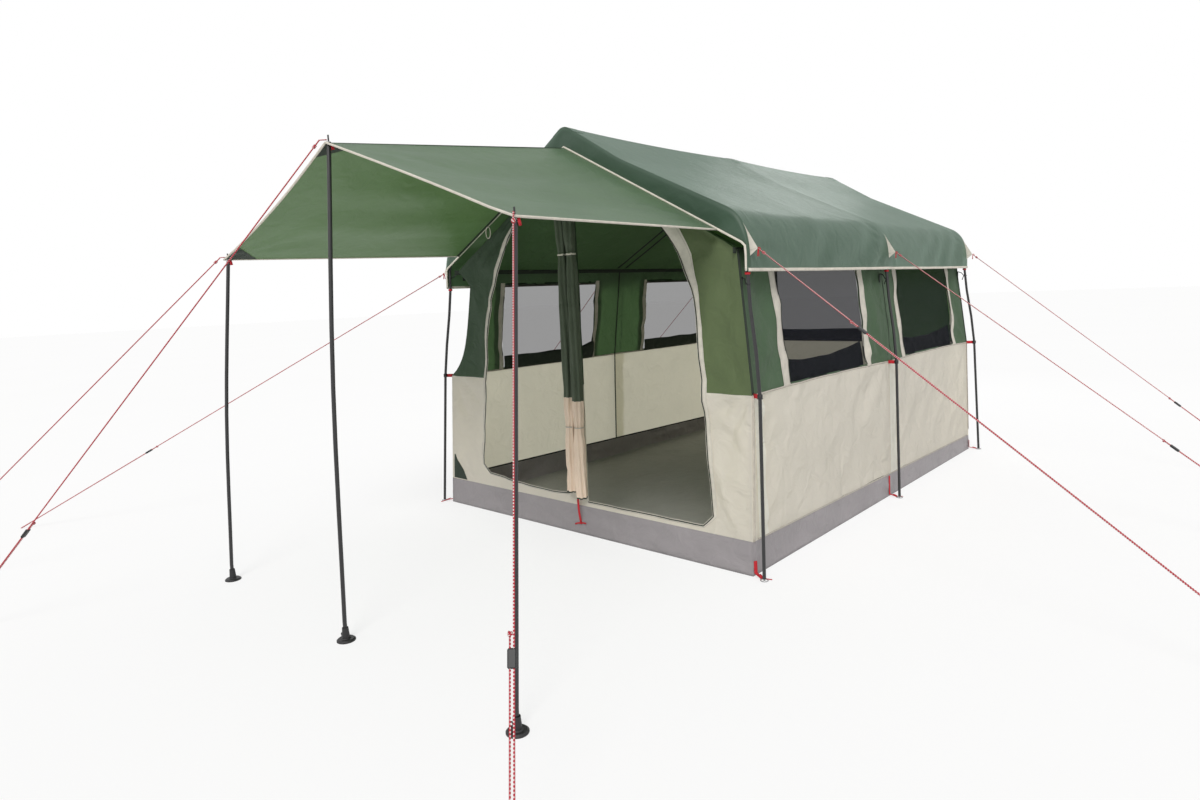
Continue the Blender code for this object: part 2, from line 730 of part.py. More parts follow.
def build_fly():
    section = fly_section()
    stations = list(range(len(section)))
    ends = [-FLY_Y, MIDDLE_Y, FLY_Y]
    rows = [("low", -FLY_Y)]
    rows += [("fly", y) for y in evenly(ends[0], ends[1], 8)]
    rows += [("fly", y) for y in evenly(ends[1], ends[2], 8)[1:]]
    rows += [("low", FLY_Y)]

    def point(i, row):
        (x, z), (nx, nz) = section[i]
        kind, y = row
        if kind == "low":
            inwards = fly_depth(i, section)
        else:
            low = min(max((SHOULDER_Z - z) / (SHOULDER_Z - HEM_Z), 0), 1)
            across = min(abs(x) / SHOULDER_X, 1)
            wave = math.sin(4 * math.pi * y / ARCH_Y + 9 * z * (1 if x > 0 else -1))
            dip = RIDGE_DIP * max(1 - abs(x) / RIDGE_HALF, 0)
            sag = FLY_SAG * math.sin(math.pi * across / 1.6) + FLY_FOLD * low * (1 + wave)
            inwards = bay_share(y) * (dip + sag)
        return Vector((x - nx * inwards, y, z - nz * inwards))

    fly = sheet("fly", stations, rows, point, "fly")
    for arch, (y, _) in ARCHES.items():
        for name, side in SIDES.items():
            boolean(fly, guy_tab(f"tab_{arch}_{name}", side, y), "UNION")


def tab_tip(side, y):
    return Vector((side * (HEM_X + FLY_OFFSET + TAB_TIP_OUT), y, TAB_TIP_Z))


def guy_tab(name, side, y):
    """The three-cornered tab on the shoulder that a side rope is tied to."""
    tip = tab_tip(1, y)
    base = [(1.55, 0.0015), (1.75, 0.0015), (1.95, 0.0015)]
    outline = []
    for station, bite in base:
        x, z = arch_outline(station)
        out = station_normal(station)
        reach = FLY_OFFSET - bite
        outline.append((side * (x + reach * out[0]), z + reach * out[1]))
    outline.append((side * tip.x, tip.z))
    return outline_prism(name, outline[::-side], CLOTH, Matrix.Translation((0, y, 0)) @ FACING_FRONT)


# Porch

def canopy_point(across, back):
    """The canopy's upper face. across is -1 at the left, 0 on the ridge and 1 at the right."""
    side = "left" if across < 0 else "right"
    ridge = Vector((PORCH_TOPS["centre"][0], -PORCH_Y, PORCH_TOPS["centre"][1]))
    corner = Vector((PORCH_TOPS[side][0], -PORCH_Y, PORCH_TOPS[side][1]))
    share = abs(across)
    rear_y = -FLY_Y - CANOPY_GAP
    rear_x = across * CANOPY_REAR_HALF
    rear = Vector((rear_x, rear_y, CANOPY_REAR_RIDGE_Z - CANOPY_REAR_SLOPE * abs(rear_x)))
    front = ridge.lerp(corner, share)
    forward = (rear - front) * (-CANOPY_MARGIN / (rear - front).length)
    outward = Vector((math.copysign(CANOPY_MARGIN, across) * max(share - 0.9, 0) * 10, 0, 0))
    start = front + forward + outward
    belly = math.sin(math.pi * share) * math.sin(math.pi * back)
    edge = 0.02 * math.sin(math.pi * share) * (1 - back)
    place_on = start.lerp(rear, back)
    return place_on + Vector((0, edge, -CANOPY_SAG * belly * (0.8 + 0.2 * math.cos(6 * math.pi * share))))


def build_canopy():
    columns = [-1, -0.97, -0.85, -0.65, -0.45, -0.25, -0.1, 0, 0.1, 0.25, 0.45, 0.65, 0.85, 0.97, 1]
    canopy = sheet("porch_canopy", columns, evenly(0, 1, 9), canopy_point, "canopy")
    reach = Vector((0, 0, 0.05))
    for name, top in PORCH_TOPS.items():
        spot = Vector((top[0], -PORCH_Y, top[1]))
        hole = cylinder_guide(f"eyelet_{name}", EYELET_RADIUS, spot - reach, spot + reach, 10)
        boolean(canopy, hole, "DIFFERENCE")


def build_porch_pole(name):
    """An upright pole: plumb in its foot, bowed a little, and with a spike through the canopy's eyelet."""
    top_x, top_z = PORCH_TOPS[name]
    foot_x = PORCH_FEET[name]
    shoulder = Vector((top_x, -PORCH_Y, top_z - CLOTH - 0.006))
    lowest = Vector((foot_x, -PORCH_FOOT_Y, SLEEVE_FLOOR + 0.001))
    plumb = Vector((foot_x, -PORCH_FOOT_Y, SLEEVE_HEIGHT + 0.02))
    middle = (plumb + shoulder) / 2 + Vector((0, -POLE_BOWS[name], 0))
    path = [lowest, *smooth_path([plumb, middle, shoulder], 4)]
    way = (path[-1] - path[-2]).normalized()
    step = shoulder + way * 0.0001
    tip = shoulder + Vector((0, 0, SPIKE_LENGTH + 0.006)) + way * 0.0001
    thin = SPIKE_RADIUS / POLE_RADIUS
    shares = [1] * len(path) + [thin, thin]
    tube(f"porch_pole_{name}", [*path, step, tip], POLE_RADIUS, "pole", sides=12, shares=shares)


def build_porch_foot(name):
    """A flat disc with a tapered sleeve for the pole, and a small upright eye for a peg."""
    bore = POLE_RADIUS + SLEEVE_PLAY
    collar = bore + SLEEVE_WALL
    profile = [
        (0, SLEEVE_FLOOR), (bore, SLEEVE_FLOOR), (bore, SLEEVE_HEIGHT), (collar - 0.001, SLEEVE_HEIGHT),
        (collar + 0.002, DISC_TOP + 0.003), (collar + 0.006, DISC_TOP), (DISC_RADIUS - 0.006, DISC_TOP),
        (DISC_RADIUS, DISC_EDGE), (DISC_RADIUS, 0.0), (0, 0.0),
    ]
    spot = (PORCH_FEET[name], -PORCH_FOOT_Y)
    foot = turned(f"porch_foot_{name}", profile, spot, "plastic", steps=32)
    out = collar + 0.006 + PEG_EYE_RADIUS
    bpy.ops.mesh.primitive_torus_add(
        major_radius=PEG_EYE_RADIUS, minor_radius=0.0022, major_segments=12, minor_segments=6,
        location=(spot[0] - out, spot[1], DISC_TOP + PEG_EYE_RADIUS - 0.001), rotation=(math.pi / 2, 0, 0),
    )
    eye = bpy.context.object
    eye.name = f"peg_eye_{name}"
    eye.hide_render = True
    eye.display_type = "WIRE"
    for home in list(eye.users_collection):
        home.objects.unlink(eye)
    CUTTERS.objects.link(eye)
    boolean(foot, eye, "UNION")


# Guy ropes

def rope_frame(start, end):
    """The way along a rope and the level way across it."""
    along = (end - start).normalized()
    across = along.cross(Vector((0, 0, 1))).normalized()
    return along, across


def rope_path(lead, start, end, slider_share):
    """Down to the peg, round it, and back up beside itself through the slider to its tail."""
    along, across = rope_frame(start, end)
    length = (end - start).length
    turn = length - PEG_LOOP_RADIUS
    half = STRAND_SPACING / 2
    back_to = length * slider_share - SLIDER[2] / 2 - TAIL
    bulge = PEG_LOOP_RADIUS - half
    stretch = length - PEG_LOOP_LENGTH
    flat = [(a, 0.0) for a in evenly(0.0, stretch, 5)]
    flat += [(between(stretch, turn, 0.6), -0.7 * bulge)]
    flat += [(turn + PEG_LOOP_RADIUS * math.cos(a), half + PEG_LOOP_RADIUS * math.sin(a))
             for a in evenly(-math.pi / 2, math.pi / 2, 6)]
    flat += [(between(stretch, turn, 0.6), STRAND_SPACING + 0.7 * bulge)]
    flat += [(a, STRAND_SPACING) for a in evenly(stretch, back_to, 4)]
    return [*lead, *(start + along * a + across * b for a, b in flat)]


def slider_mesh():
    """A rounded block with a bore for each of the two strands, along its own z."""
    built = bmesh.new()
    bmesh.ops.create_cube(built, size=1)
    bmesh.ops.scale(built, vec=SLIDER, verts=built.verts)
    mesh = bpy.data.meshes.new("slider_block")
    built.to_mesh(mesh)
    built.free()
    block = guide(mesh, "slider_block")
    soft = block.modifiers.new("Round", "BEVEL")
    soft.width = 0.003
    soft.segments = 1
    for strand in (-1, 1):
        x = strand * STRAND_SPACING / 2
        reach = SLIDER[2]
        bore = cylinder_guide(
            f"strand_{strand}", ROPE_RADIUS + SLIDER_PLAY, Vector((x, 0, -reach)), Vector((x, 0, reach)), 8
        )
        boolean(block, bore, "DIFFERENCE")
    bpy.context.view_layer.update()
    evaluated = block.evaluated_get(bpy.context.evaluated_depsgraph_get())
    return bpy.data.meshes.new_from_object(evaluated)


def build_guy(name, lead, start, end, slider_share, block):
    points = rope_path(lead, start, end, slider_share)
    tube(f"guy_{name}", points, ROPE_RADIUS, "rope")
    length = sum((b - a).length for a, b in zip(points, points[1:]))
    along, across = rope_frame(start, end)
    spot = start + (end - start) * slider_share + across * STRAND_SPACING / 2
    slider = place(block, f"guy_slider_{name}", "plastic")
    turn = Matrix((across, along.cross(across), along)).transposed().to_4x4()
    slider.matrix_world = Matrix.Translation(spot) @ turn
    print(f"guy_{name}: {length:.3f} m, slider at", [round(c, 4) for c in spot], [round(c, 4) for c in along])


def build_guys():
    block = slider_mesh()
    ground = ROPE_RADIUS + 0.0005
    for name, (out, forward, share) in SIDE_GUYS.items():
        arch, side_name = name.split("_")
        side = SIDES[side_name]
        start = tab_tip(side, ARCHES[arch][0]) + Vector((side * 0.004, 0, -0.003))
        end = Vector((side * (HEM_X + TAB_TIP_OUT + out), start.y + forward, ground))
        build_guy(name, [], start, end, share, block)
    for name, (right, forward, share) in PORCH_GUYS.items():
        top_x, top_z = PORCH_TOPS[name]
        spike = Vector((top_x, -PORCH_Y, top_z + 0.010))
        level = Vector((right, forward, 0)).normalized()
        near = spike + level * (SPIKE_RADIUS + ROPE_RADIUS + 0.001)
        start = spike + level * 0.034
        end = Vector((top_x + right, -PORCH_Y + forward, ground))
        build_guy(f"porch_{name}", [near], start, end, share, block)


def build_tent():
    build_arches()
    build_ridge_poles()
    build_floor()
    build_end_walls()
    build_side_walls()
    build_inner_roof()
    build_rolls()
    build_fly()
    build_canopy()
    for name in PORCH_TOPS:
        build_porch_pole(name)
        build_porch_foot(name)
    build_guys()


for old in list(bpy.data.objects):
    bpy.data.objects.remove(old)
PARTS = collection("family_tent")
CUTTERS = collection("cutters")
build_tent()
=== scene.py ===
"""The family tent as it is seen: cloth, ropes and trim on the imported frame, with light, floor and camera."""
import json
import math

import bmesh
import bpy
from mathutils import Matrix, Vector, noise

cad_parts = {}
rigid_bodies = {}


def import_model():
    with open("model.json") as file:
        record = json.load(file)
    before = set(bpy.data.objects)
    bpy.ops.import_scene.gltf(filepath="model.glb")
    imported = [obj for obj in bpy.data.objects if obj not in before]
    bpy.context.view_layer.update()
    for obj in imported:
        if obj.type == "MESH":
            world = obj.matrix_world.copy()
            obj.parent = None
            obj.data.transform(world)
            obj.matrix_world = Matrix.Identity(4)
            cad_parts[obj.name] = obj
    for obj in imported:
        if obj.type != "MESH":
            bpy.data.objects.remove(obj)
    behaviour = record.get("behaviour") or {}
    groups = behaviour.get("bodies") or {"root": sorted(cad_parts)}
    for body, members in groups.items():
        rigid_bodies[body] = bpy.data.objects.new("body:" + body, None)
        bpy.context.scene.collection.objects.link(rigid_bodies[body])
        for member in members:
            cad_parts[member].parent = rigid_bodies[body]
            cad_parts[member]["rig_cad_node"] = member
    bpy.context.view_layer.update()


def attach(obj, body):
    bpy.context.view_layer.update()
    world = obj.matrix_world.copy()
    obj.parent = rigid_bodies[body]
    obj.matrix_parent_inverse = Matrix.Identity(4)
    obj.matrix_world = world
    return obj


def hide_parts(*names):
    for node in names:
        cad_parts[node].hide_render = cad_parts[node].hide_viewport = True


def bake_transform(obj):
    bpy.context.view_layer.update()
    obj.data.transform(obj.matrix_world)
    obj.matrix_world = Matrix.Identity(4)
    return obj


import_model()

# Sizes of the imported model, in metres. Its arches and legs
HALF_WIDTH = 1.146
HALF_DEPTH = 1.573
MIDDLE_Y = 0.04
LEG_END_Z = 0.010
WAIST_Z = 0.80
HEM_Z = 1.335
BEND_END_Z = 1.38
SHOULDER_Z = 1.603
ROOF_AXIS_Z = 2.05
WAIST_INSET = 0.038
HEM_INSET = 0.110
SHOULDER_INSET = 0.216
SPLAY_Y = 0.079
POLE_RADIUS = 0.008

# Thicknesses, and gaps at seams
CLOTH = 0.003
TAPE_THICK = 0.0016
SEAM_THICK = 0.0012
SEAM_GAP = 0.0005
ROOF_SEAT = 0.005

# Inner tent: how far its walls stand in from the arches, and its tub
BASE_INSET = 0.064
WAIST_WALL_INSET = 0.086
EAVE_INSET = 0.171
BASE_INSET_Y = 0.016
WAIST_INSET_Y = 0.062
EAVE_INSET_Y = 0.095
EAVE_Z = 1.44
INNER_RIDGE_Z = 1.985
WALL_SAG = 0.030
ROOF_SAG = 0.025
TUB_FRONT_Z = 0.155
TUB_REAR_Z = 0.105
TUB_LIFT = 0.0012

# Door: what differs is given for the left half, -1, and the right half, 1
DOOR_HALVES = {-1: 0.70, 1: 0.78}
DOOR_FEET = {-1: 0.758, 1: 0.867}
DOOR_SPRING_Z = 1.0
DOOR_TOP_Z = 1.83
DOOR_CHAMFER = 0.05
DOOR_SILLS = {-1: 0.235, 1: 0.185}
SILL_SLACK = {-1: 0.030, 1: 0.0}
STRIP_HALF = 0.045

# Rolled door panels. A tie is at a height, and narrows its roll to a share
ROLLS_FOOT_X = 0.0475
ROLLS_LEAN = 0.049
ROLL_SPREAD = 0.031
ROLL_RADIUS = 0.031
ROLL_TIES = {1.472: 0.78, 0.58: 0.80}
ROLL_TIE_REACH = 0.06
ROLL_TOP_Z = 1.71
ROLL_BOTTOM_Z = 0.205
ROLL_TONE_Z = 0.724  # green above and beige below
ROLL_CORE = 0.004
ROLL_STEPS = 32  # faces in each of a roll's turns

# Windows
WINDOWS = {"front": (-1.12, -0.25), "rear": (0.355, 1.245)}
WINDOW_BOTTOM_Z = 0.812
WINDOW_TOP_Z = 1.347
WINDOW_MARGIN = 0.008  # how far a net reaches under its tapes
CURTAIN_GAP = 0.010
REAR_WINDOW_X = 0.45
REAR_WINDOW_TOP_Z = 1.42
REAR_BAND_OUT = 0.033
REAR_BAND_WIDTH = 0.062

# Fly
FLY_GAP = 0.004
FLY_RIDGE_Z = 2.10
FLY_SAG = 0.012
FLY_FOLD = 0.006
VALANCE_HEM = 0.010
PIPING_LIFT = 0.004
FLY_PIPING = 0.0052
TAB_TIP_OUT = 0.038
TAB_TIP_Z = 1.427
HUB_PATCH_REACH = 0.055

# Porch canopy, and the tops of its poles in x and z
PORCH_Y = 2.85
PORCH_TOPS = {"left": (-0.895, 1.495), "centre": (0.10, 1.857), "right": (1.09, 1.495)}
CANOPY_REAR_HALF = 0.898
CANOPY_REAR_RIDGE_Z = 2.0
CANOPY_REAR_SLOPE = 0.5356
CANOPY_GAP = 0.003
CANOPY_MARGIN = 0.013
CANOPY_SAG = 0.035
CANOPY_PIPING = 0.0042
CANOPY_RUN = 1.35  # from its front edge back to the fly

# Guy ropes: how far out and forward each is pegged, and where its slider is, as a share of its length
SPIKE_RADIUS = 0.003
ROPE_RADIUS = 0.0025
GROUND_GAP = 0.0005
STRAND_SPACING = 0.009
CLOSE_STRANDS = 0.0058  # where a rope's two strands lie side by side
SLIDER_RUN = 0.34  # how far down its rope a slider can be moved
PEG_LOOP_RADIUS = 0.012
PEG_LOOP_LENGTH = 0.10
TAIL = 0.035
KNOT_DOWN = 0.03  # how far down its rope the upper knot is
SPIKE_TOP = 0.010
PORCH_ROPE_START = 0.034
KNOT_RADIUS = 0.0042
KNOT_CORD = 0.0024
SLIDER_LENGTH = 0.044
SIDE_GUYS = {
    "front_right": (1.89, 0.0, 0.24),
    "middle_right": (1.90, 0.0, 0.70),
    "rear_right": (1.75, 0.0, 0.70),
    "front_left": (1.80, -1.95, 0.70),
    "middle_left": (1.50, 0.0, 0.70),
    "rear_left": (1.50, 0.0, 0.70),
}
PORCH_GUYS = {"left": (-1.24, -1.24, 0.70), "centre": (-1.34, -1.13, 0.78), "right": (0.61, -0.66, 0.685)}

SHOULDER_X = HALF_WIDTH - SHOULDER_INSET
HEM_X = HALF_WIDTH - HEM_INSET
ROOF_SLOPE = (ROOF_AXIS_Z - SHOULDER_Z) / SHOULDER_X
ARCH_Y = HALF_DEPTH - SPLAY_Y
FLY_OFFSET = POLE_RADIUS + FLY_GAP + CLOTH
FLY_Y = 1.5097
ARCHES = {"front": (-ARCH_Y, -HALF_DEPTH), "middle": (MIDDLE_Y, 0.0), "rear": (ARCH_Y, HALF_DEPTH)}
SIDES = {"left": -1, "right": 1}
LEGS = [(arch, name, side) for arch in ARCHES for name, side in SIDES.items()]
RIGHT, BACK, UP = Vector((1, 0, 0)), Vector((0, 1, 0)), Vector((0, 0, 1))


def between(low, high, share):
    return low + (high - low) * share


def evenly(start, end, spans):
    return [start + (end - start) * step / spans for step in range(spans + 1)]


def limited(value, low=0.0, high=1.0):
    return min(max(value, low), high)


def side_number(value):
    return -1 if value < 0 else 1


def ease(t):
    t = limited(t)
    return t * t * (3 - 2 * t)


# The model's surfaces

def leg_x(z):
    waist_x = HALF_WIDTH - WAIST_INSET
    if z <= WAIST_Z:
        return between(HALF_WIDTH, waist_x, z / WAIST_Z)
    t = (BEND_END_Z - z) / (BEND_END_Z - WAIST_Z)
    run = WAIST_INSET / WAIST_Z * (BEND_END_Z - WAIST_Z)
    return HEM_X + (waist_x - HEM_X) * (3 * t**2 - 2 * t**3) + run * (t**3 - t**2)


def arch_outline(station):
    """x and z on the right-hand half arch: roof line to 1, bend to 2, leg to 3."""
    if station <= 1:
        return between(0, SHOULDER_X, station), between(ROOF_AXIS_Z, SHOULDER_Z, station)
    if station <= 2:
        t = station - 1
        corner_z = ROOF_AXIS_Z - ROOF_SLOPE * HEM_X
        x = (1 - t) ** 2 * SHOULDER_X + 2 * t * (1 - t) * HEM_X + t**2 * HEM_X
        z = (1 - t) ** 2 * SHOULDER_Z + 2 * t * (1 - t) * corner_z + t**2 * BEND_END_Z
        return x, z
    z = between(BEND_END_Z, LEG_END_Z, station - 2)
    return leg_x(z), z


def station_normal(station):
    step = 1e-4
    x0, z0 = arch_outline(station - step)
    x1, z1 = arch_outline(station + step)
    length = math.hypot(x1 - x0, z1 - z0)
    return -(z1 - z0) / length, (x1 - x0) / length


def leg_point(side, arch, z):
    top_y, foot_y = ARCHES[arch]
    lean = limited(1 - z / HEM_Z)
    return Vector((side * leg_x(z), between(top_y, foot_y, lean), z))


def bay_share(y):
    """0 at an arch and 1 half way between two."""
    start, end = (-ARCH_Y, MIDDLE_Y) if y < MIDDLE_Y else (MIDDLE_Y, ARCH_Y)
    t = limited((y - start) / (end - start))
    return 4 * t * (1 - t)


def stepped(z, base, waist, eave):
    if z <= WAIST_Z:
        return between(base, waist, z / WAIST_Z)
    return between(waist, eave, min((z - WAIST_Z) / (EAVE_Z - WAIST_Z), 1))


def tub_top(y):
    return between(TUB_FRONT_Z, TUB_REAR_Z, (y + HALF_DEPTH) / (2 * HALF_DEPTH))


def side_x(y, z):
    lift = limited((z - TUB_FRONT_Z) / (WAIST_Z - TUB_FRONT_Z))
    inset = stepped(z, BASE_INSET, WAIST_WALL_INSET, EAVE_INSET)
    return HALF_WIDTH - inset - WALL_SAG * bay_share(y) * lift


def end_y(z):
    return HALF_DEPTH - stepped(z, BASE_INSET_Y, WAIST_INSET_Y, EAVE_INSET_Y)


def drawn_in(side, y, z):
    """The left front corner has slipped inwards between the waist and the eave."""
    if side > 0 or z <= WAIST_Z:
        return 0.0
    near = math.exp(-(((y + ARCH_Y) / 0.16) ** 2))
    return 0.13 * (1 - math.exp((WAIST_Z - z) / 0.09)) * ease((EAVE_Z - z) / 0.10) * near


def wall_x(side, y, z):
    return side_x(y, z) - drawn_in(side, y, z)


def rolls_x(z):
    """Half way between the two rolls, which is also the strip's middle."""
    return ROLLS_FOOT_X - ROLLS_LEAN * (z - ROLL_BOTTOM_Z)


def strip_edge(side, z):
    return side * rolls_x(z) + STRIP_HALF


def roof_z(x, y):
    out = min(abs(x) / side_x(y, EAVE_Z), 1)
    sag = ROOF_SAG * bay_share(y) * math.sin(math.pi * out)
    return between(INNER_RIDGE_Z, EAVE_Z, out) - sag


# Folds: pulls run out from where cloth is held, and swells are the slack between

FRONT_HELD = [(-1.05, WAIST_Z), (1.05, WAIST_Z), (-0.86, 1.40), (0.95, 1.42), (-0.5, 1.62), (0.5, 1.62)]
REAR_HELD = [(-1.05, WAIST_Z), (1.05, WAIST_Z), (-0.95, 1.42), (0.95, 1.42)]
SIDE_HELD = [(-1.5, WAIST_Z), (0.0, WAIST_Z), (1.5, WAIST_Z), (-1.5, 0.16), (0.0, 0.14), (1.5, 0.12)]
ROOF_HELD = [(-1, -1.49), (1, -1.49), (-1, 0.04), (1, 0.04)]
TUB_HELD = [(-1.05, -1.5), (1.05, -1.5), (-1.05, 1.5), (1.05, 1.5)]
CANOPY_HELD = [(across, back) for back in (0.0, CANOPY_RUN) for across in (-1.0, 0.0, 1.0)]


def swell(x, y, seed, scale):
    return noise.noise(Vector((x * scale, y * scale, seed * 7.3)))


def pulls(x, y, spots, reach, count, seed):
    """Ridges that run out from each held spot, about -1 to 1."""
    total = 0.0
    for number, (sx, sy) in enumerate(spots):
        dx, dy = x - sx, y - sy
        far = math.hypot(dx, dy)
        turn = math.atan2(dy, dx)
        bend = 1.3 * noise.noise(Vector((x * 1.5, y * 1.5, seed + number)))
        ridge = math.sin(count * turn + bend + seed + 2 * number)
        total += ridge * math.exp(-far / reach) * ease(far / 0.08)
    return total


def crumple(x, y, seed, scale):
    """Sharp creases where soft noise crosses zero: 0.5 on a crease, down to -0.5 between."""
    value = noise.noise(Vector((x * scale, y * scale, seed * 5.1))) + 0.3 * swell(x, y, seed + 1, 2 * scale)
    return 0.5 - min(abs(value) / 0.4, 1)


# Materials

BAND_RATE = 0.314  # the scale of a wave texture whose bands are a metre apart
WEAVE_PITCH = 0.0022
NET_PITCH = 0.0016
RIB_PITCH = 0.0018
BRAID_PITCH = 0.016
STITCHED_SHARE = 0.62  # of each stitch's period


def new_look(name):
    made = bpy.data.materials.new(name)
    made.use_nodes = True
    made.node_tree.nodes.clear()
    return made, made.node_tree


def node(tree, kind, inputs=None, **values):
    """A shader node. Each input is given a value, or the socket that feeds it."""
    found = tree.nodes.new("ShaderNode" + kind)
    found.location = (220 * len(tree.nodes), 0)
    for key, value in values.items():
        setattr(found, key, value)
    for key, value in (inputs or {}).items():
        if isinstance(value, bpy.types.NodeSocket):
            tree.links.new(value, found.inputs[key])
        else:
            found.inputs[key].default_value = value
    return found


def maths(tree, operation, *values):
    return node(tree, "Math", dict(enumerate(values)), operation=operation).outputs[0]


def bump(tree, height, strength, depth, **more):
    """A normal that a height shapes, over another Normal if one is given."""
    inputs = {"Height": height, "Strength": strength, "Distance": depth, **more}
    return node(tree, "Bump", inputs).outputs["Normal"]


def mottled(tree, colour, size, amount):
    """The colour, lighter and darker in soft patches, and the coordinates that it is made in."""
    place = node(tree, "TexCoord").outputs["Object"]
    patches = node(tree, "TexNoise", {"Scale": size, "Detail": 4, "Roughness": 0.55, "Vector": place})
    ramp = node(tree, "ValToRGB", {"Fac": patches.outputs["Fac"]})
    for stop, spot, share in zip(ramp.color_ramp.elements, (0.3, 0.7), (1 - amount, 1 + amount)):
        stop.position = spot
        stop.color = (*(limited(c * share) for c in colour), 1)
    return ramp.outputs["Color"], place


def weave_height(tree, place, pitch):
    """The height of a plain weave's threads, in three directions so that it doesn't matter how cloth lies."""
    wave = {"Scale": BAND_RATE / pitch, "Distortion": 0.4, "Vector": place}
    x, y, z = (node(tree, "TexWave", wave, bands_direction=axis).outputs["Fac"] for axis in "XYZ")
    return maths(tree, "ADD", maths(tree, "ADD", x, y), z)


def skin(tree, colour, normal, rough, inputs=None):
    inputs = {"Base Color": colour, "Normal": normal, "Roughness": rough, **(inputs or {})}
    return node(tree, "BsdfPrincipled", inputs)


def put_out(tree, shader, kind="Material"):
    node(tree, "Output" + kind, {"Surface": shader.outputs[0]})


def mixed(tree, share, first, second):
    return node(tree, "MixShader", {"Fac": share, 1: first.outputs[0], 2: second.outputs[0]})


def lit_through(tree, shader, through, glow, **more):
    """The shader, mixed with a share of light that comes through from behind."""
    if not through:
        return shader
    return mixed(tree, through, shader, node(tree, "BsdfTranslucent", {"Color": (*glow, 1), **more}))


def cloth(
    name, colour, through=0.3, glow=None, rough=0.7, sheen=0.06, mottle=0.07, crinkle=1.0, gloss=0.35,
    fuzz=(1, 1, 1),
):
    """Thin woven polyester that lets some light through, with fine threads and small creases."""
    made, tree = new_look(name)
    shade, place = mottled(tree, [min(c / (1 - through), 0.9) for c in colour], 3.2, mottle)
    shape = {"Scale": 11, "Detail": 4, "Roughness": 0.42, "Distortion": 0.8, "Vector": place}
    large = bump(tree, node(tree, "TexNoise", shape).outputs["Fac"], crinkle, 0.015)
    fine = bump(tree, weave_height(tree, place, WEAVE_PITCH), 0.22, 0.0006, Normal=large)
    sheens = {"Sheen Weight": sheen, "Sheen Roughness": 0.5, "Sheen Tint": (*fuzz, 1)}
    surface = skin(tree, shade, fine, rough, {**sheens, "Specular IOR Level": gloss})
    put_out(tree, lit_through(tree, surface, through, glow or colour, Normal=large))
    return made


def net_cloth(name, colour, open_share):
    """Fine mesh, of which a share is open."""
    made, tree = new_look(name)
    shade, place = mottled(tree, colour, 5, 0.08)
    threads = bump(tree, weave_height(tree, place, NET_PITCH), 0.4, 0.0005)
    put_out(tree, skin(tree, shade, threads, 0.8, {"Specular IOR Level": 0.06, "Alpha": 1 - open_share}))
    return made


def own_map(tree):
    """Along in metres and across as a share, from the map of tapes and tubes."""
    return node(tree, "SeparateXYZ", {0: node(tree, "UVMap", uv_map="run").outputs["UV"]}).outputs


def tape(name, colour, period=0.006, through=0.0):
    """Woven tape or binding, with ribs across and a row of stitches along each edge."""
    made, tree = new_look(name)
    shade, _ = mottled(tree, colour, 30, 0.10)
    spot = own_map(tree)
    through_period = maths(tree, "FRACT", maths(tree, "DIVIDE", spot["X"], period))
    dash = maths(tree, "LESS_THAN", through_period, STITCHED_SHARE)
    edge = maths(tree, "ABSOLUTE", maths(tree, "SUBTRACT", spot["Y"], 0.5))
    stitch = maths(tree, "MULTIPLY", dash, maths(tree, "COMPARE", edge, 0.36, 0.03))
    rib = maths(tree, "SINE", maths(tree, "MULTIPLY", spot["X"], 2 * math.pi / RIB_PITCH))
    height = maths(tree, "ADD", maths(tree, "MULTIPLY", rib, 0.25), stitch)
    darker = (*(limited(c * 0.72) for c in colour), 1)
    thread = node(tree, "Mix", {"Factor": stitch, "A": shade, "B": darker}, data_type="RGBA")
    ribs = bump(tree, height, 0.5, 0.0008)
    surface = skin(tree, thread.outputs["Result"], ribs, 0.8, {"Specular IOR Level": 0.3})
    put_out(tree, lit_through(tree, surface, through, colour))
    return made


def braid(name, first, second):
    """Round braid with two colours that spiral both ways."""
    made, tree = new_look(name)
    spot = own_map(tree)
    turns = maths(tree, "DIVIDE", spot["X"], BRAID_PITCH)
    one, other = (
        maths(tree, "SINE", maths(tree, "MULTIPLY", maths(tree, way, turns, spot["Y"]), 2 * math.pi))
        for way in ("ADD", "SUBTRACT")
    )
    crossed = maths(tree, "MULTIPLY", one, other)
    fine = maths(tree, "SINE", maths(tree, "MULTIPLY", turns, 2 * math.pi * 8))
    strands = bump(tree, maths(tree, "ADD", crossed, maths(tree, "MULTIPLY", fine, 0.3)), 0.6, 0.0006)
    chosen = {"Factor": maths(tree, "GREATER_THAN", crossed, -0.42), "A": (*second, 1), "B": (*first, 1)}
    mix = node(tree, "Mix", chosen, data_type="RGBA")
    put_out(tree, skin(tree, mix.outputs["Result"], strands, 0.7))
    return made


def hard(name, colour, rough, metallic=0.0, grain=400.0, coat=0.0):
    """Moulded plastic or coated metal, with a fine grain and faint wear."""
    made, tree = new_look(name)
    shade, place = mottled(tree, colour, 9, 0.18)
    grit = node(tree, "TexNoise", {"Scale": grain, "Vector": place})
    grainy = bump(tree, grit.outputs["Fac"], 0.4, 0.00005)
    put_out(tree, skin(tree, shade, grainy, rough, {"Metallic": metallic, "Coat Weight": coat}))
    return made


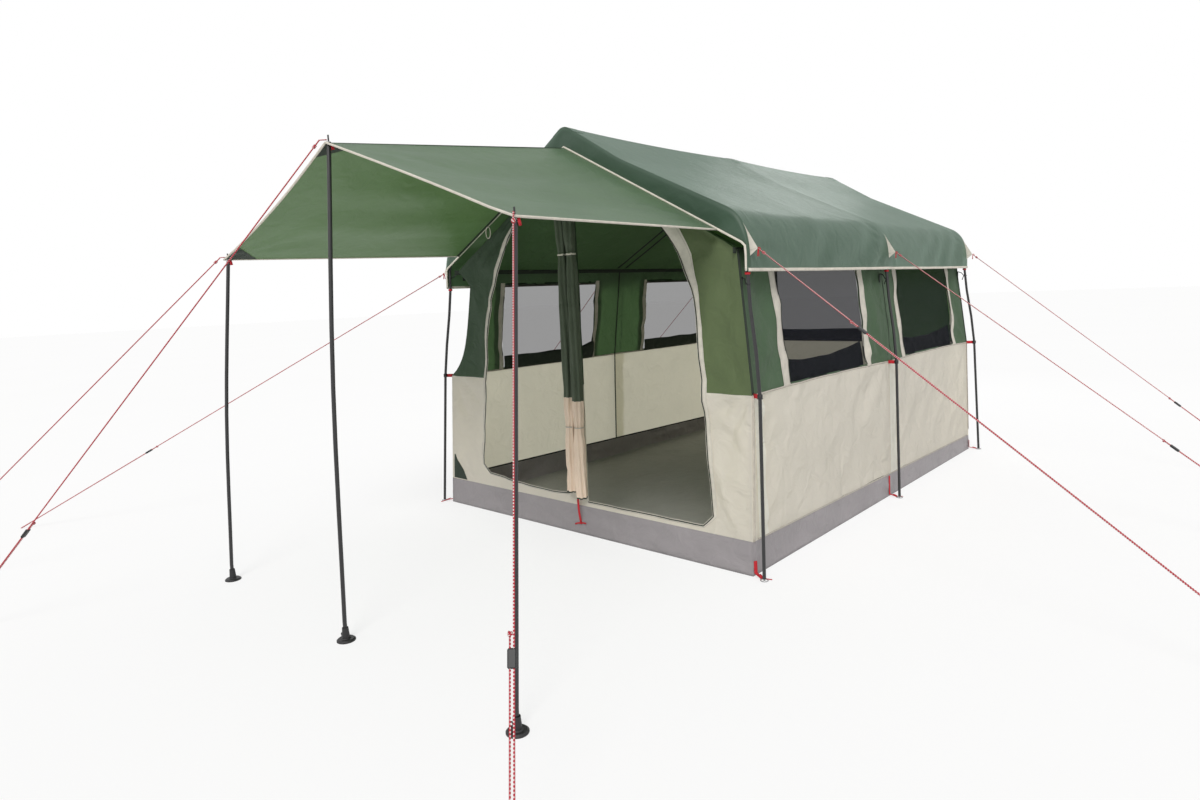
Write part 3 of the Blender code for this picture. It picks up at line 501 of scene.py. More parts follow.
FLY_CLOTH = cloth(
    "fly_cloth_look", (0.045, 0.081, 0.054), 0.25, (0.07, 0.14, 0.045), 0.40, 0.27, crinkle=0.3, gloss=0.45,
    fuzz=(0.5, 0.82, 0.62),
)
CANOPY_CLOTH = cloth(
    "canopy_cloth_look", (0.071, 0.127, 0.056), 0.36, (0.046, 0.102, 0.012), 0.42, 0.16, crinkle=0.35,
    gloss=0.6, fuzz=(0.7, 0.85, 1),
)
GREEN_WALL = cloth("green_wall_look", (0.058, 0.096, 0.056), 0.35, (0.085, 0.17, 0.06))
# A darker copy of the green wall cloth, for painted shade: the canopy's shadow on the front wall's left panel
# and middle strip.
FRONT_GREEN_PAINTED_SHADE = cloth("front_green_painted_shade_look", (0.042, 0.068, 0.042), 0.3, (0.07, 0.14, 0.05))
OLIVE_WALL = cloth("olive_wall_look", (0.098, 0.130, 0.062), 0.35, (0.10, 0.17, 0.05))
BEIGE_WALL = cloth("beige_wall_look", (0.54, 0.49, 0.44), 0.42, (0.84, 0.81, 0.64), mottle=0.04)
PALE_FACING = cloth("pale_facing_look", (0.60, 0.60, 0.52), 0.55, (0.95, 0.95, 0.85), mottle=0.04)
ROOF_LINING = cloth("roof_lining_look", (0.060, 0.115, 0.050), 0.42, (0.12, 0.25, 0.07))
CURTAIN_CLOTH = cloth("curtain_cloth_look", (0.024, 0.036, 0.026), 0.2, (0.05, 0.09, 0.03))
GROUND_CLOTH = cloth("ground_cloth_look", (0.29, 0.27, 0.28), 0.0, rough=0.55)
# A paler copy of the groundsheet's grey, for the floor: painted light that brightens the dim inside.
FLOOR_CLOTH_PAINTED_LIGHT = cloth("floor_cloth_painted_light_look", (0.36, 0.36, 0.335), 0.0, rough=0.6)
ROLL_GREEN = cloth("roll_green_look", (0.074, 0.096, 0.062), 0.0)
ROLL_BEIGE = cloth("roll_beige_look", (0.78, 0.63, 0.50), 0.0, mottle=0.05)
WINDOW_NET = net_cloth("window_net_look", (0.010, 0.010, 0.016), 0.31)
CREAM_TAPE = tape("cream_tape_look", (0.66, 0.62, 0.54))
CREAM_BAND = tape("cream_band_look", (0.70, 0.66, 0.58), period=0.005, through=0.15)
RED_TAPE = tape("red_tape_look", (0.52, 0.025, 0.035))
# The dark seam tape also makes the dark strips under the inner roof, which are painted pole shadows.
DARK_SEAM_AND_PAINTED_SHADOW = tape("dark_seam_and_painted_shadow_look", (0.03, 0.04, 0.03))
BEIGE_SEAM = tape("beige_seam_look", (0.50, 0.46, 0.40), period=0.004)
ROPE_BRAID = braid("rope_braid_look", (0.40, 0.014, 0.030), (0.72, 0.62, 0.60))
POLE_COAT = hard("pole_coat_look", (0.012, 0.012, 0.013), 0.38, coat=0.2)
BLACK_PLASTIC = hard("black_plastic_look", (0.013, 0.013, 0.014), 0.5)
STEEL = hard("steel_look", (0.42, 0.42, 0.43), 0.35, metallic=1.0, grain=150.0)


# Building meshes

def placed(name, data):
    """A new object in the scene."""
    thing = bpy.data.objects.new(name, data)
    bpy.context.scene.collection.objects.link(thing)
    return thing


def finish_piece(built, name, looks, replaced=(), rides=True, smooth=True):
    """A cleaned and painted piece, on the tent's body unless rides is false."""
    bmesh.ops.remove_doubles(built, verts=built.verts, dist=2e-5)
    bmesh.ops.dissolve_degenerate(built, dist=1e-6, edges=built.edges)
    bmesh.ops.recalc_face_normals(built, faces=built.faces)
    mesh = bpy.data.meshes.new(name)
    built.to_mesh(mesh)
    built.free()
    for look in looks:
        mesh.materials.append(look)
    if smooth:
        mesh.shade_smooth()
    thing = placed(name, mesh)
    if rides:
        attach(thing, "tent")
    if replaced:
        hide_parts(*replaced)
    return thing


def cloth_piece(name, grids, looks, replaced=(), rides=True):
    """Cloth from grids, each (columns, rows, point, look number or a function of a face's middle)."""
    built = bmesh.new()
    for columns, rows, point, look in grids:
        lines = [[built.verts.new(point(column, row)) for column in columns] for row in rows]
        for low, high in zip(lines, lines[1:]):
            for i in range(len(columns) - 1):
                corners = (low[i], low[i + 1], high[i + 1], high[i])
                face = built.faces.new(corners)
                middle = (corners[0].co + corners[2].co) / 2
                face.material_index = look(middle) if callable(look) else look
    return finish_piece(built, name, looks, replaced, rides)


def run_layer(built):
    """The map of tapes and tubes: along in metres, and across or round as a share."""
    return built.loops.layers.uv.get("run") or built.loops.layers.uv.new("run")


def runs_along(points):
    """How far along a line each of its points is."""
    runs = [0.0]
    for before, after in zip(points, points[1:]):
        runs.append(runs[-1] + (after - before).length)
    return runs


def ways_along(points, closed):
    """A line's direction at each of its points."""
    ways = []
    for i, point in enumerate(points):
        after = points[(i + 1) % len(points)] if closed or i + 1 < len(points) else point
        before = points[i - 1] if closed or i else point
        ways.append((after - before).normalized())
    return ways


def join_lines(built, lines, runs, shares, look=0):
    """Faces between lines of corners. Where a line closes on itself, it has one share more than corners."""
    layer = run_layer(built)
    for low, high, start, end in zip(lines, lines[1:], runs, runs[1:]):
        for k, (left, right) in enumerate(zip(shares, shares[1:])):
            j = (k + 1) % len(low)
            face = built.faces.new((low[k], low[j], high[j], high[k]))
            face.material_index = look
            for loop, spot in zip(face.loops, ((start, left), (start, right), (end, right), (end, left))):
                loop[layer].uv = spot


def join_rings(built, rings, points, shares, look, closed):
    """The skin over a bar's or tape's rings, shut at both ends unless it closes on itself."""
    runs = runs_along([*points, points[0]] if closed else points)
    join_lines(built, [*rings, rings[0]] if closed else rings, runs, shares, look)
    if not closed:
        for end in (rings[0][::-1], rings[-1]):
            built.faces.new(end).material_index = look


def add_tube(built, points, radius, sides=8, closed=False, shares=None, look=0):
    """A round bar, cord or rope, which twists as little as can be."""
    run_layer(built)
    points = [Vector(point) for point in points]
    ways = ways_along(points, closed)
    one = ways[0].orthogonal().normalized()
    rings = []
    for point, way, share in zip(points, ways, shares or [1] * len(points)):
        one = (one - way * one.dot(way)).normalized()
        corners = ring(point, one, way.cross(one), radius * share, sides)
        rings.append([built.verts.new(corner) for corner in corners])
    join_rings(built, rings, points, [k / sides for k in range(sides + 1)], look, closed)


def tube_piece(name, points, radius, look, slot_name, replaced=(), **more):
    built = bmesh.new()
    add_tube(built, points, radius, **more)
    return finish_piece(built, name, [look], replaced)


# A flat tape's section, as shares of its width and its thickness
TAPE_SECTION = [(-0.5, 0.0), (-0.44, 0.5), (0.44, 0.5), (0.5, 0.0), (0.44, -0.5), (-0.44, -0.5)]


def add_ribbon(built, points, acrosses, width, thick, look=0, closed=False):
    """A flat tape. acrosses is its width's direction, or a list of them."""
    run_layer(built)
    points = [Vector(point) for point in points]
    if not isinstance(acrosses, list):
        acrosses = [acrosses] * len(points)
    rings = []
    for point, way, across in zip(points, ways_along(points, closed), acrosses):
        across = (across - way * across.dot(way)).normalized()
        out = way.cross(across)
        rings.append([built.verts.new(point + across * a * width + out * b * thick) for a, b in TAPE_SECTION])
    shares = [a + 0.5 for a, _ in (*TAPE_SECTION, TAPE_SECTION[0])]
    join_rings(built, rings, points, shares, look, closed)


def ribbon_piece(name, runs, look, thick=TAPE_THICK):
    """One piece of flat tapes, each (points, acrosses, width), or with True added where it is closed."""
    built = bmesh.new()
    for points, acrosses, width, *closed in runs:
        add_ribbon(built, points, acrosses, width, thick, closed=any(closed))
    return finish_piece(built, name, [look])


def add_laid_tape(built, rows):
    """A tape that follows the cloth across its width too."""
    run_layer(built)
    lines = [[built.verts.new(point) for point in row] for row in rows]
    last = len(rows[0]) - 1
    join_lines(built, lines, runs_along([row[0] for row in rows]), [k / last for k in range(last + 1)])


def full_turn(steps):
    return evenly(0, 2 * math.pi, steps)[:-1]


def ring(middle, one, two, radius, steps):
    return [middle + (one * math.cos(a) + two * math.sin(a)) * radius for a in full_turn(steps)]


# Camera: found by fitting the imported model's corners to the photograph

CAMERA_SPOT = (2.7218, -4.3186, 1.2694)
CAMERA_RIGHT = Vector((0.7437, 0.6671, -0.0427))
CAMERA_UP = Vector((-0.0634, 0.1341, 0.9889))
FOCAL_LENGTH = 22.393  # in millimetres, like the sensor's width
SENSOR_WIDTH = 36


def build_camera():
    lens = bpy.data.cameras.new("camera")
    lens.lens = FOCAL_LENGTH
    lens.sensor_width = SENSOR_WIDTH
    eye = placed("camera", lens)
    right = CAMERA_RIGHT.normalized()
    up = (CAMERA_UP - right * CAMERA_UP.dot(right)).normalized()
    turn = Matrix((right, up, right.cross(up))).transposed().to_4x4()
    eye.matrix_world = Matrix.Translation(CAMERA_SPOT) @ turn
    bpy.context.scene.camera = eye


# Guy ropes

def rope_frame(start, end):
    along = (end - start).normalized()
    return along, along.cross(UP).normalized()


def rope_path(lead, start, end, slider_share):
    """Down to the peg, round it, and back up beside itself through the slider to its tail."""
    along, across = rope_frame(start, end)
    length = (end - start).length
    turn = length - PEG_LOOP_RADIUS
    half = STRAND_SPACING / 2
    slider = length * slider_share
    bulge = PEG_LOOP_RADIUS - half
    stretch = length - PEG_LOOP_LENGTH
    narrowing = (0.3, 0.6, 0.85)
    flat = [(a, 0.0) for a in evenly(0.0, stretch, 6)]
    flat += [(between(stretch, turn, share), -bulge * ease(share)) for share in narrowing]
    flat += [
        (turn + PEG_LOOP_RADIUS * math.cos(a), half + PEG_LOOP_RADIUS * math.sin(a))
        for a in evenly(-math.pi / 2, math.pi / 2, 10)
    ]
    for share in reversed(narrowing):
        apart = between(CLOSE_STRANDS, STRAND_SPACING + bulge, ease(share))
        flat.append((between(stretch, turn, share), apart))
    parted = slider + SLIDER_RUN
    flat += [(a, CLOSE_STRANDS) for a in evenly(stretch, parted + 0.12, 3)]
    flat += [(a, STRAND_SPACING) for a in evenly(parted, slider - SLIDER_LENGTH / 2 - TAIL, 4)]
    return [*lead, *(start + along * a + across * b for a, b in flat)]


def wound_knot(name, middle, along, turns=3):
    """A small knot: a rope's turns round itself, with its ends tucked in."""
    one = along.orthogonal().normalized()
    two = along.cross(one)
    points = []
    steps = turns * 10
    for k in range(steps + 1):
        a = 2 * math.pi * turns * k / steps
        size = KNOT_RADIUS * (0.55 if k in (0, steps) else 1)
        shift = (k / steps - 0.5) * turns * KNOT_CORD * 1.7
        points.append(middle + along * shift + (one * math.cos(a) + two * math.sin(a)) * size)
    return tube_piece(name, points, KNOT_CORD, ROPE_BRAID, "guy_rope", sides=6)


def tab_tip(side, y):
    return Vector((side * (HEM_X + FLY_OFFSET + TAB_TIP_OUT), y, TAB_TIP_Z))


def build_rope(name, lead, start, end, share):
    points = rope_path(lead, start, end, share)
    rope = tube_piece(f"rope_{name}", points, ROPE_RADIUS, ROPE_BRAID, "guy_rope", [f"guy_{name}"])
    along, _ = rope_frame(start, end)
    knot = wound_knot(f"rope_knot_{name}", start + along * KNOT_DOWN, along)
    stop = wound_knot(f"rope_stopper_{name}", points[-1] + along * 0.004, along, turns=2)
    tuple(points[0])
    runs_along(points)[-1]


def build_ropes():
    ground = ROPE_RADIUS + GROUND_GAP
    for name, (out, forward, share) in SIDE_GUYS.items():
        arch, side_name = name.split("_")
        side = SIDES[side_name]
        start = tab_tip(side, ARCHES[arch][0]) + Vector((side * 0.004, 0, -0.003))
        end = Vector((side * (HEM_X + TAB_TIP_OUT + out), start.y + forward, ground))
        build_rope(name, [], start, end, share)
    for name, (right, forward, share) in PORCH_GUYS.items():
        top_x, top_z = PORCH_TOPS[name]
        spike = Vector((top_x, -PORCH_Y, top_z + SPIKE_TOP))
        level = Vector((right, forward, 0)).normalized()
        near = spike + level * (SPIKE_RADIUS + ROPE_RADIUS + 0.001)
        start = spike + level * PORCH_ROPE_START
        end = Vector((top_x + right, -PORCH_Y + forward, ground))
        build_rope(f"porch_{name}", [near], start, end, share)


# Fly

HEM_STATION = 2 + (BEND_END_Z - HEM_Z) / (BEND_END_Z - LEG_END_Z)


# The fly's ridge: its top, how far its rounding reaches and drops, and the slope from there
HUB_CREASE = (FLY_RIDGE_Z, 0.035, 0.010, 0.61)
POLE_CREASE = (2.090, 0.016, 0.003, 0.575)


def crease_z(x, on_hub):
    """The fly's outer face: it drapes steeply from the top of a hub, and less from the ridge pole between."""
    top, reach, drop, fall = HUB_CREASE if on_hub else POLE_CREASE
    line = ROOF_AXIS_Z + FLY_OFFSET * math.hypot(1, ROOF_SLOPE) - ROOF_SLOPE * x
    return max(line, top - drop * min(x / reach, 1) ** 2 - fall * max(x - reach, 0))


def fly_section():
    """Outer points and outward directions in x and z, from the left hem over the ridge to the right one."""
    half = []
    for x in (0.009, 0.018, 0.027, 0.036, 0.052, 0.075, 0.11, 0.15, *evenly(0.20, SHOULDER_X - 0.02, 15)):
        fall = (crease_z(x - 0.001, True) - crease_z(x + 0.001, True)) / 0.002
        half.append((x, crease_z(x, True), fall / math.hypot(1, fall), 1 / math.hypot(1, fall)))
    for station in (*evenly(1.0, 2.0, 16)[1:], HEM_STATION - 0.012, HEM_STATION):
        x, z = arch_outline(station)
        nx, nz = station_normal(station)
        half.append((x + FLY_OFFSET * nx, z + FLY_OFFSET * nz, nx, nz))
    mirrored = [(-x, z, -nx, nz) for x, z, nx, nz in reversed(half)]
    return [*mirrored, (0.0, FLY_RIDGE_Z, 0.0, 1.0), *half]


FLY_SECTION = fly_section()


def section_runs():
    runs = [0.0]
    for (x0, z0, _, _), (x1, z1, _, _) in zip(FLY_SECTION, FLY_SECTION[1:]):
        runs.append(runs[-1] + math.hypot(x1 - x0, z1 - z0))
    return runs


FLY_RUNS = section_runs()
FLY_WIDTH = FLY_RUNS[-1]
TAB_RUN = 0.13  # from the hem up to where the side ropes pull
TAB_SPOTS = [(y, TAB_RUN) for y in (-ARCH_Y, MIDDLE_Y, ARCH_Y)]


def fly_point(i, y):
    x, z, nx, nz = FLY_SECTION[i]
    run = min(FLY_RUNS[i], FLY_WIDTH - FLY_RUNS[i])
    side = 1 if x > 0 else -1
    low = limited((SHOULDER_Z - z) / (SHOULDER_Z - HEM_Z))
    across = min(abs(x) / SHOULDER_X, 1)
    share = bay_share(y)
    free = limited(share * 4)
    ridge_free = limited(abs(x) / 0.2)
    inwards = share * (FLY_SAG * math.sin(math.pi * across / 1.6) + FLY_FOLD * low)
    bend = 7 * swell(y, run, 4.0 + side, 1.6)
    slack = limited(run / 0.04) * math.exp(-((run / 0.30) ** 2)) * free
    patchy = limited(0.45 + 1.6 * swell(y, run, 8.0 - side, 1.7), 0, 1.2)
    inwards -= 0.0065 * slack * math.sin(14 * (y - 1.5 * run) + bend) * patchy
    held = limited(run / 0.04) * free * (0.2 + 0.8 * low)
    inwards -= 0.0075 * pulls(y, run, TAB_SPOTS, 0.30, 12, side) * held
    inwards -= 0.006 * free * ridge_free * swell(y, run, side, 2.1)
    inwards += 0.002 * free * math.sin(17 * y + 4 * side + 0.7 * bend) * math.exp(-((run / 0.08) ** 2))
    drop = share * (crease_z(abs(x), True) - crease_z(abs(x), False)) if abs(x) < 0.6 else 0.0
    return Vector((x - nx * inwards, y, z - nz * inwards - drop))


def valance_point(i, step, facing):
    """The strip at the fly's front or rear edge. step is 0 at its top and 1 at its hem, by the canopy."""
    x, z, nx, nz = FLY_SECTION[i]
    turned = limited((abs(x) - 0.04) / 0.15)
    nx, nz = nx * turned, between(1, nz, turned)
    run = min(FLY_RUNS[i], FLY_WIDTH - FLY_RUNS[i])
    line = CANOPY_REAR_RIDGE_Z + PIPING_LIFT - CANOPY_REAR_SLOPE * abs(x)
    to_line = (z - line) / (nz + CANOPY_REAR_SLOPE * abs(nx))
    depth = step * limited(to_line, VALANCE_HEM, VALANCE_HEM + 0.36 * run)
    folds = 0.0045 * noise.noise(Vector((x * 9, facing, step * 1.2)))
    folds += 0.002 * math.sin(34 * FLY_RUNS[i] + 4 * step)
    held = math.sin(math.pi * step) if facing < 0 else step
    return Vector((x - nx * depth, facing * (FLY_Y + max(0.003 + folds, 0) * held), z - nz * depth))


def build_fly():
    columns = list(range(len(FLY_SECTION)))
    rows = [*evenly(-FLY_Y, MIDDLE_Y, 64), *evenly(MIDDLE_Y, FLY_Y, 64)[1:]]
    grids = [(columns, rows, fly_point, 0)]
    for facing in (-1, 1):
        def valance(i, step, facing=facing):
            return valance_point(i, step, facing)

        grids.append((columns, evenly(0, 1, 5), valance, 0))
    fly = cloth_piece("fly_cloth", grids, [FLY_CLOTH], ["fly"])
    trims = [*build_fly_binding(), *build_ridge_caps()]
    tabs = [build_tab(*leg) for leg in LEGS]


def build_fly_binding():
    """Thick cream piping along both valance hems, and flat binding along both side hems."""
    built = bmesh.new()
    for facing in (-1, 1):
        hem = [valance_point(i, 1.0, facing) + BACK * (facing * 0.003) for i in range(len(FLY_SECTION))]
        add_tube(built, hem, FLY_PIPING)
    piping = finish_piece(built, "fly_piping", [CREAM_TAPE])
    runs = []
    for i in (0, len(FLY_SECTION) - 1):
        runs.append(([fly_point(i, y) + UP * 0.004 for y in evenly(-FLY_Y, FLY_Y, 90)], UP, 0.015))
    return [piping, ribbon_piece("fly_hem_binding", runs, CREAM_TAPE, 0.004)]


def build_ridge_caps():
    """Reinforcement patches where the fly lies over the hubs, sewn on over the ridge."""
    found = []
    middle = len(FLY_SECTION) // 2
    for arch, (y, _) in ARCHES.items():
        inner = -FLY_Y if arch == "front" else y - HUB_PATCH_REACH
        outer = FLY_Y if arch == "rear" else y + HUB_PATCH_REACH

        def point(i, row):
            _, _, nx, nz = FLY_SECTION[i]
            return fly_point(i, row) + Vector((nx, 0, nz)) * 0.0012

        grid = (list(range(middle - 6, middle + 7)), evenly(inner, outer, 6), point, 0)
        found.append(cloth_piece(f"hub_patch_{arch}", [grid], [FLY_CLOTH]))
    return found


def build_tab(arch, side_name, side):
    """The cream three-cornered tab on the shoulder that a side rope is tied to, with its red loop."""
    y = ARCHES[arch][0]
    tip = tab_tip(side, y)
    lift = FLY_OFFSET + 0.0006
    rim = []
    for station in evenly(1.46, 1.95, 6):
        x, z = arch_outline(station)
        nx, nz = station_normal(station)
        rim.append(Vector((side * (x + lift * nx), y, z + lift * nz)))
    built = bmesh.new()
    add_laid_tape(built, [[spot.lerp(tip, share) for spot in rim] for share in (0, 0.3, 0.65, 0.94)])
    tab = finish_piece(built, f"guy_tab_{arch}_{side_name}", [CREAM_BAND], smooth=False)
    spots = [
        tip + Vector((side * 0.006 * (1 - math.cos(a)), 0, -0.004 * math.sin(a) - 0.002 * (1 - math.cos(a))))
        for a in full_turn(10)
    ]
    loop = tube_piece(
        f"guy_tab_loop_{arch}_{side_name}", spots, 0.0018, RED_TAPE, "guy_rope", closed=True, sides=6
    )
    tails = []
    for way in (-1, 1):
        top, end = Vector((side * 0.002, way * 0.002, -0.004)), Vector((side * 0.001, way * 0.006, -0.034))
        tails.append(([tip + top, tip + end], BACK, 0.005))
    ends = ribbon_piece(f"guy_tab_ends_{arch}_{side_name}", tails, RED_TAPE)
    for piece in (loop, ends):
        piece.parent = tab
        piece.matrix_parent_inverse = tab.matrix_world.inverted()
    return tab


# Porch canopy

def porch_top(name):
    """The top of a porch pole."""
    x, z = PORCH_TOPS[name]
    return Vector((x, -PORCH_Y, z))


def canopy_point(across, back):
    """across is -1 at the left edge and 1 at the right one, back is 0 at the front edge and 1 by the fly."""
    share = abs(across)
    turn = side_number(across)
    rear_x = across * CANOPY_REAR_HALF
    rear = Vector((rear_x, -FLY_Y - CANOPY_GAP, CANOPY_REAR_RIDGE_Z - CANOPY_REAR_SLOPE * abs(rear_x)))
    front = porch_top("centre").lerp(porch_top("left" if across < 0 else "right"), share)
    forward = (rear - front) * (-CANOPY_MARGIN / (rear - front).length)
    outward = Vector((math.copysign(CANOPY_MARGIN, across) * max(share - 0.9, 0) * 10, 0, 0))
    start = front + forward + outward
    belly = math.sin(math.pi * share) * math.sin(math.pi * back)
    edge = 0.02 * math.sin(math.pi * share) * (1 - back)
    sag = CANOPY_SAG * belly * (0.8 + 0.2 * math.cos(6 * math.pi * share))
    u, v = across, back * CANOPY_RUN
    loose = limited(share * 6) * limited((1 - share) * 10) * limited(back * 10) * limited((1 - back) * 10)
    folds = 0.004 * pulls(u, v, CANOPY_HELD, 0.42, 13, 3 + turn) + 0.004 * swell(u, v, 5 + turn, 2.4)
    folds += 0.003 * math.sin(58 * share + 5 * swell(u, v, turn, 2.0)) * ease((back - 0.45) / 0.5)
    return start.lerp(rear, back) + Vector((0, edge, folds * loose - sag))


def canopy_columns():
    half = [0.0, 0.02, 0.05, *evenly(0.09, 0.93, 24), 0.96, 0.98, 1.0]
    return [*(-a for a in reversed(half[1:])), *half]


def build_canopy():
    columns = canopy_columns()
    grid = (columns, evenly(0, 1, 60), canopy_point, 0)
    canopy = cloth_piece("canopy_cloth", [grid], [CANOPY_CLOTH], ["porch_canopy"])
    rim = [canopy_point(-1, back) for back in evenly(1, 0, 40)[:-1]]
    rim += [canopy_point(a, 0) for a in columns]
    rim += [canopy_point(1, back) for back in evenly(0, 1, 40)[1:]]
    piping = tube_piece("canopy_piping", rim, CANOPY_PIPING, CREAM_TAPE, "canopy_cloth")
    under = UP * -0.0018
    rear = [canopy_point(a, 0.985) + under for a in columns]
    ridge = [canopy_point(0, back) + under for back in evenly(0.005, 0.98, 30)]
    runs = [(rear, BACK, 0.016), (ridge, RIGHT, 0.016)]
    seams = ribbon_piece("canopy_seams", runs, DARK_SEAM_AND_PAINTED_SHADOW, 0.001)
    corners = [build_corner_patch(name) for name in PORCH_TOPS]


def build_corner_patch(name):
    """Dark reinforcement under the canopy at a pole's top: a triangle at the sides, a kite on the ridge."""
    on_ridge = name == "centre"
    reach_back, reach_across = (0.13, 0.10) if on_ridge else (0.11, 0.13)
    grids = []
    for side in (-1, 1) if on_ridge else (SIDES[name],):
        def point(a, b, side=side):
            out = reach_across * a * (1 - b)
            across = max(out if on_ridge else 1 - out, 0.0005)
            return canopy_point(side * across, 0.004 + reach_back * b) - UP * 0.0016

        grids.append((evenly(0, 1, 5), evenly(0, 1, 6), point, 0))
    return cloth_piece(f"canopy_corner_{name}", grids, [CURTAIN_CLOTH])


# A let-down curtain's pleats: shares of its height and of its depth
PLEATS = [
    (0.0, 0.0), (0.25, 0.0), (0.55, 0.06), (0.85, 0.1), (0.985, 0.18), (1.0, 0.26), (0.97, 0.34), (0.7, 0.38),
    (0.4, 0.38), (0.12, 0.41), (0.05, 0.46), (0.1, 0.51), (0.4, 0.53), (0.7, 0.55), (0.93, 0.6), (0.96, 0.65),
    (0.9, 0.7), (0.55, 0.72), (0.2, 0.75), (0.08, 0.8), (0.14, 0.86), (0.45, 0.9), (0.75, 0.94), (0.9, 1.0),
]


# Inner tent

def two_tone(middle):
    return 0 if middle.z > WAIST_Z else 1


def olive_tone(middle):
    return 2 if middle.z > WAIST_Z else 1


def end_reach(side, z):
    """How far out an end wall reaches at a height: to its corner, or to the sloping roof above the eave."""
    if z <= EAVE_Z - ROOF_SEAT:
        return wall_x(side, -end_y(z), z)
    eave_x = side_x(-end_y(EAVE_Z), EAVE_Z)
    return max((INNER_RIDGE_Z - ROOF_SEAT - z) / (INNER_RIDGE_Z - EAVE_Z) * eave_x, 0.0)


def door_edge(side, z):
    """The opening's outer edge at a height: a flaring jamb, then a quarter ellipse up to the middle strip."""
    foot, half, sill = DOOR_FEET[side], DOOR_HALVES[side], DOOR_SILLS[side]
    knee = sill + DOOR_CHAMFER
    if z <= knee:
        return foot - DOOR_CHAMFER + max(z - sill, 0)
    if z <= DOOR_SPRING_Z:
        return between(foot, half, (z - knee) / (DOOR_SPRING_Z - knee))
    rise = min((z - DOOR_SPRING_Z) / (DOOR_TOP_Z - DOOR_SPRING_Z), 1)
    return max(half * math.sqrt(1 - rise * rise), strip_edge(side, z))


def front_wall_at(x, z):
    """The front wall's outer face, with its slack and pulls."""
    side = side_number(x)
    edge = limited((end_reach(side, z) - abs(x)) / 0.06) * limited((z - 0.16) / 0.05)
    soft = edge * limited((INNER_RIDGE_Z - z) / 0.15)
    soft *= between(0.25, 1, limited((abs(x - rolls_x(z)) - 0.08) / 0.1))
    fold = 0.009 * pulls(x, z, FRONT_HELD, 0.32, 9, 2.0) + 0.006 * swell(x, z, 1.0, 2.6)
    by_corner = limited((z - WAIST_Z) / 0.2) * limited((abs(x) - 0.72) / 0.05)
    fold += 0.004 * math.sin(30 * abs(x) + 17 * z) * by_corner
    fold += 0.013 * crumple(x + 0.5 * z, 0.5 * z, 2.0, 5.0)
    return Vector((x, -end_y(z) - limited(fold * soft, -0.011, 0.011), z))


def front_rows():
    rise = DOOR_TOP_Z - DOOR_SPRING_Z
    rows = [TUB_FRONT_Z + SEAM_GAP, 0.170, 0.185, 0.210, 0.235, 0.260, 0.285]
    rows += evenly(0.285, WAIST_Z, 24)[1:]
    rows += evenly(WAIST_Z, DOOR_SPRING_Z, 6)[1:]
    rows += [DOOR_SPRING_Z + rise * math.sin(a) for a in evenly(0, math.pi / 2, 26)[1:]]
    rows += evenly(DOOR_TOP_Z, INNER_RIDGE_Z - ROOF_SEAT, 5)[1:]
    return rows


def sagged_sill(side, share, z):
    """A row below the sill, which droops between the strip and the jamb. share is 0 at the strip."""
    base = TUB_FRONT_Z + SEAM_GAP
    depth = SILL_SLACK[side] * math.sin(math.pi * math.sqrt(share)) * (z - base) / (DOOR_SILLS[side] - base)
    return front_wall_at(side * between(strip_edge(side, z), door_edge(side, z), share), z - depth)


def build_front_wall():
    rows = front_rows()
    grids = []
    for side in (-1, 1):
        def panel(share, z, side=side):
            outer = end_reach(side, z)
            return front_wall_at(side * between(min(door_edge(side, z), outer), outer, share), z)

        def sill(share, z, side=side):
            return sagged_sill(side, share, z)

        # Above the waist, the left panel and the strip take the darker green, which is painted shade from the
        # canopy.
        grids.append((evenly(0, 1, 18), rows, panel, two_tone if side < 0 else olive_tone))
        low_rows = [z for z in rows if z <= DOOR_SILLS[side] + 1e-6]
        grids.append((evenly(0, 1, 16), low_rows, sill, 1))

    def strip(share, z):
        outer = end_reach(1, z)
        left, right = (side * min(max(strip_edge(side, z), -outer), outer) for side in (-1, 1))
        return front_wall_at(between(left, right, share), z)

    grids.append((evenly(0, 1, 3), rows, strip, two_tone))
    wall = cloth_piece(
        "front_wall_cloth", grids, [FRONT_GREEN_PAINTED_SHADE, BEIGE_WALL, OLIVE_WALL], ["front_wall"]
    )
    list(build_door_bands())
    build_corner_triangle()


def door_rim(side):
    """Points round one half of the opening, from the strip's foot out, up the jamb and over the arch."""
    sill, foot, half = DOOR_SILLS[side], DOOR_FEET[side], DOOR_HALVES[side]
    found = [sagged_sill(side, share, sill) for share in evenly(0, 1, 16)]
    heights = [*evenly(sill, sill + DOOR_CHAMFER, 3)[1:], *evenly(sill + DOOR_CHAMFER, DOOR_SPRING_Z, 16)[1:]]
    last = math.acos(strip_edge(side, DOOR_TOP_Z) / half)
    rise = DOOR_TOP_Z - DOOR_SPRING_Z
    flat = [(door_edge(side, z), z) for z in heights]
    flat += [(half * math.cos(a), DOOR_SPRING_Z + rise * math.sin(a)) for a in evenly(0, last, 28)[1:]]
    return found + [front_wall_at(side * x, z) for x, z in flat]


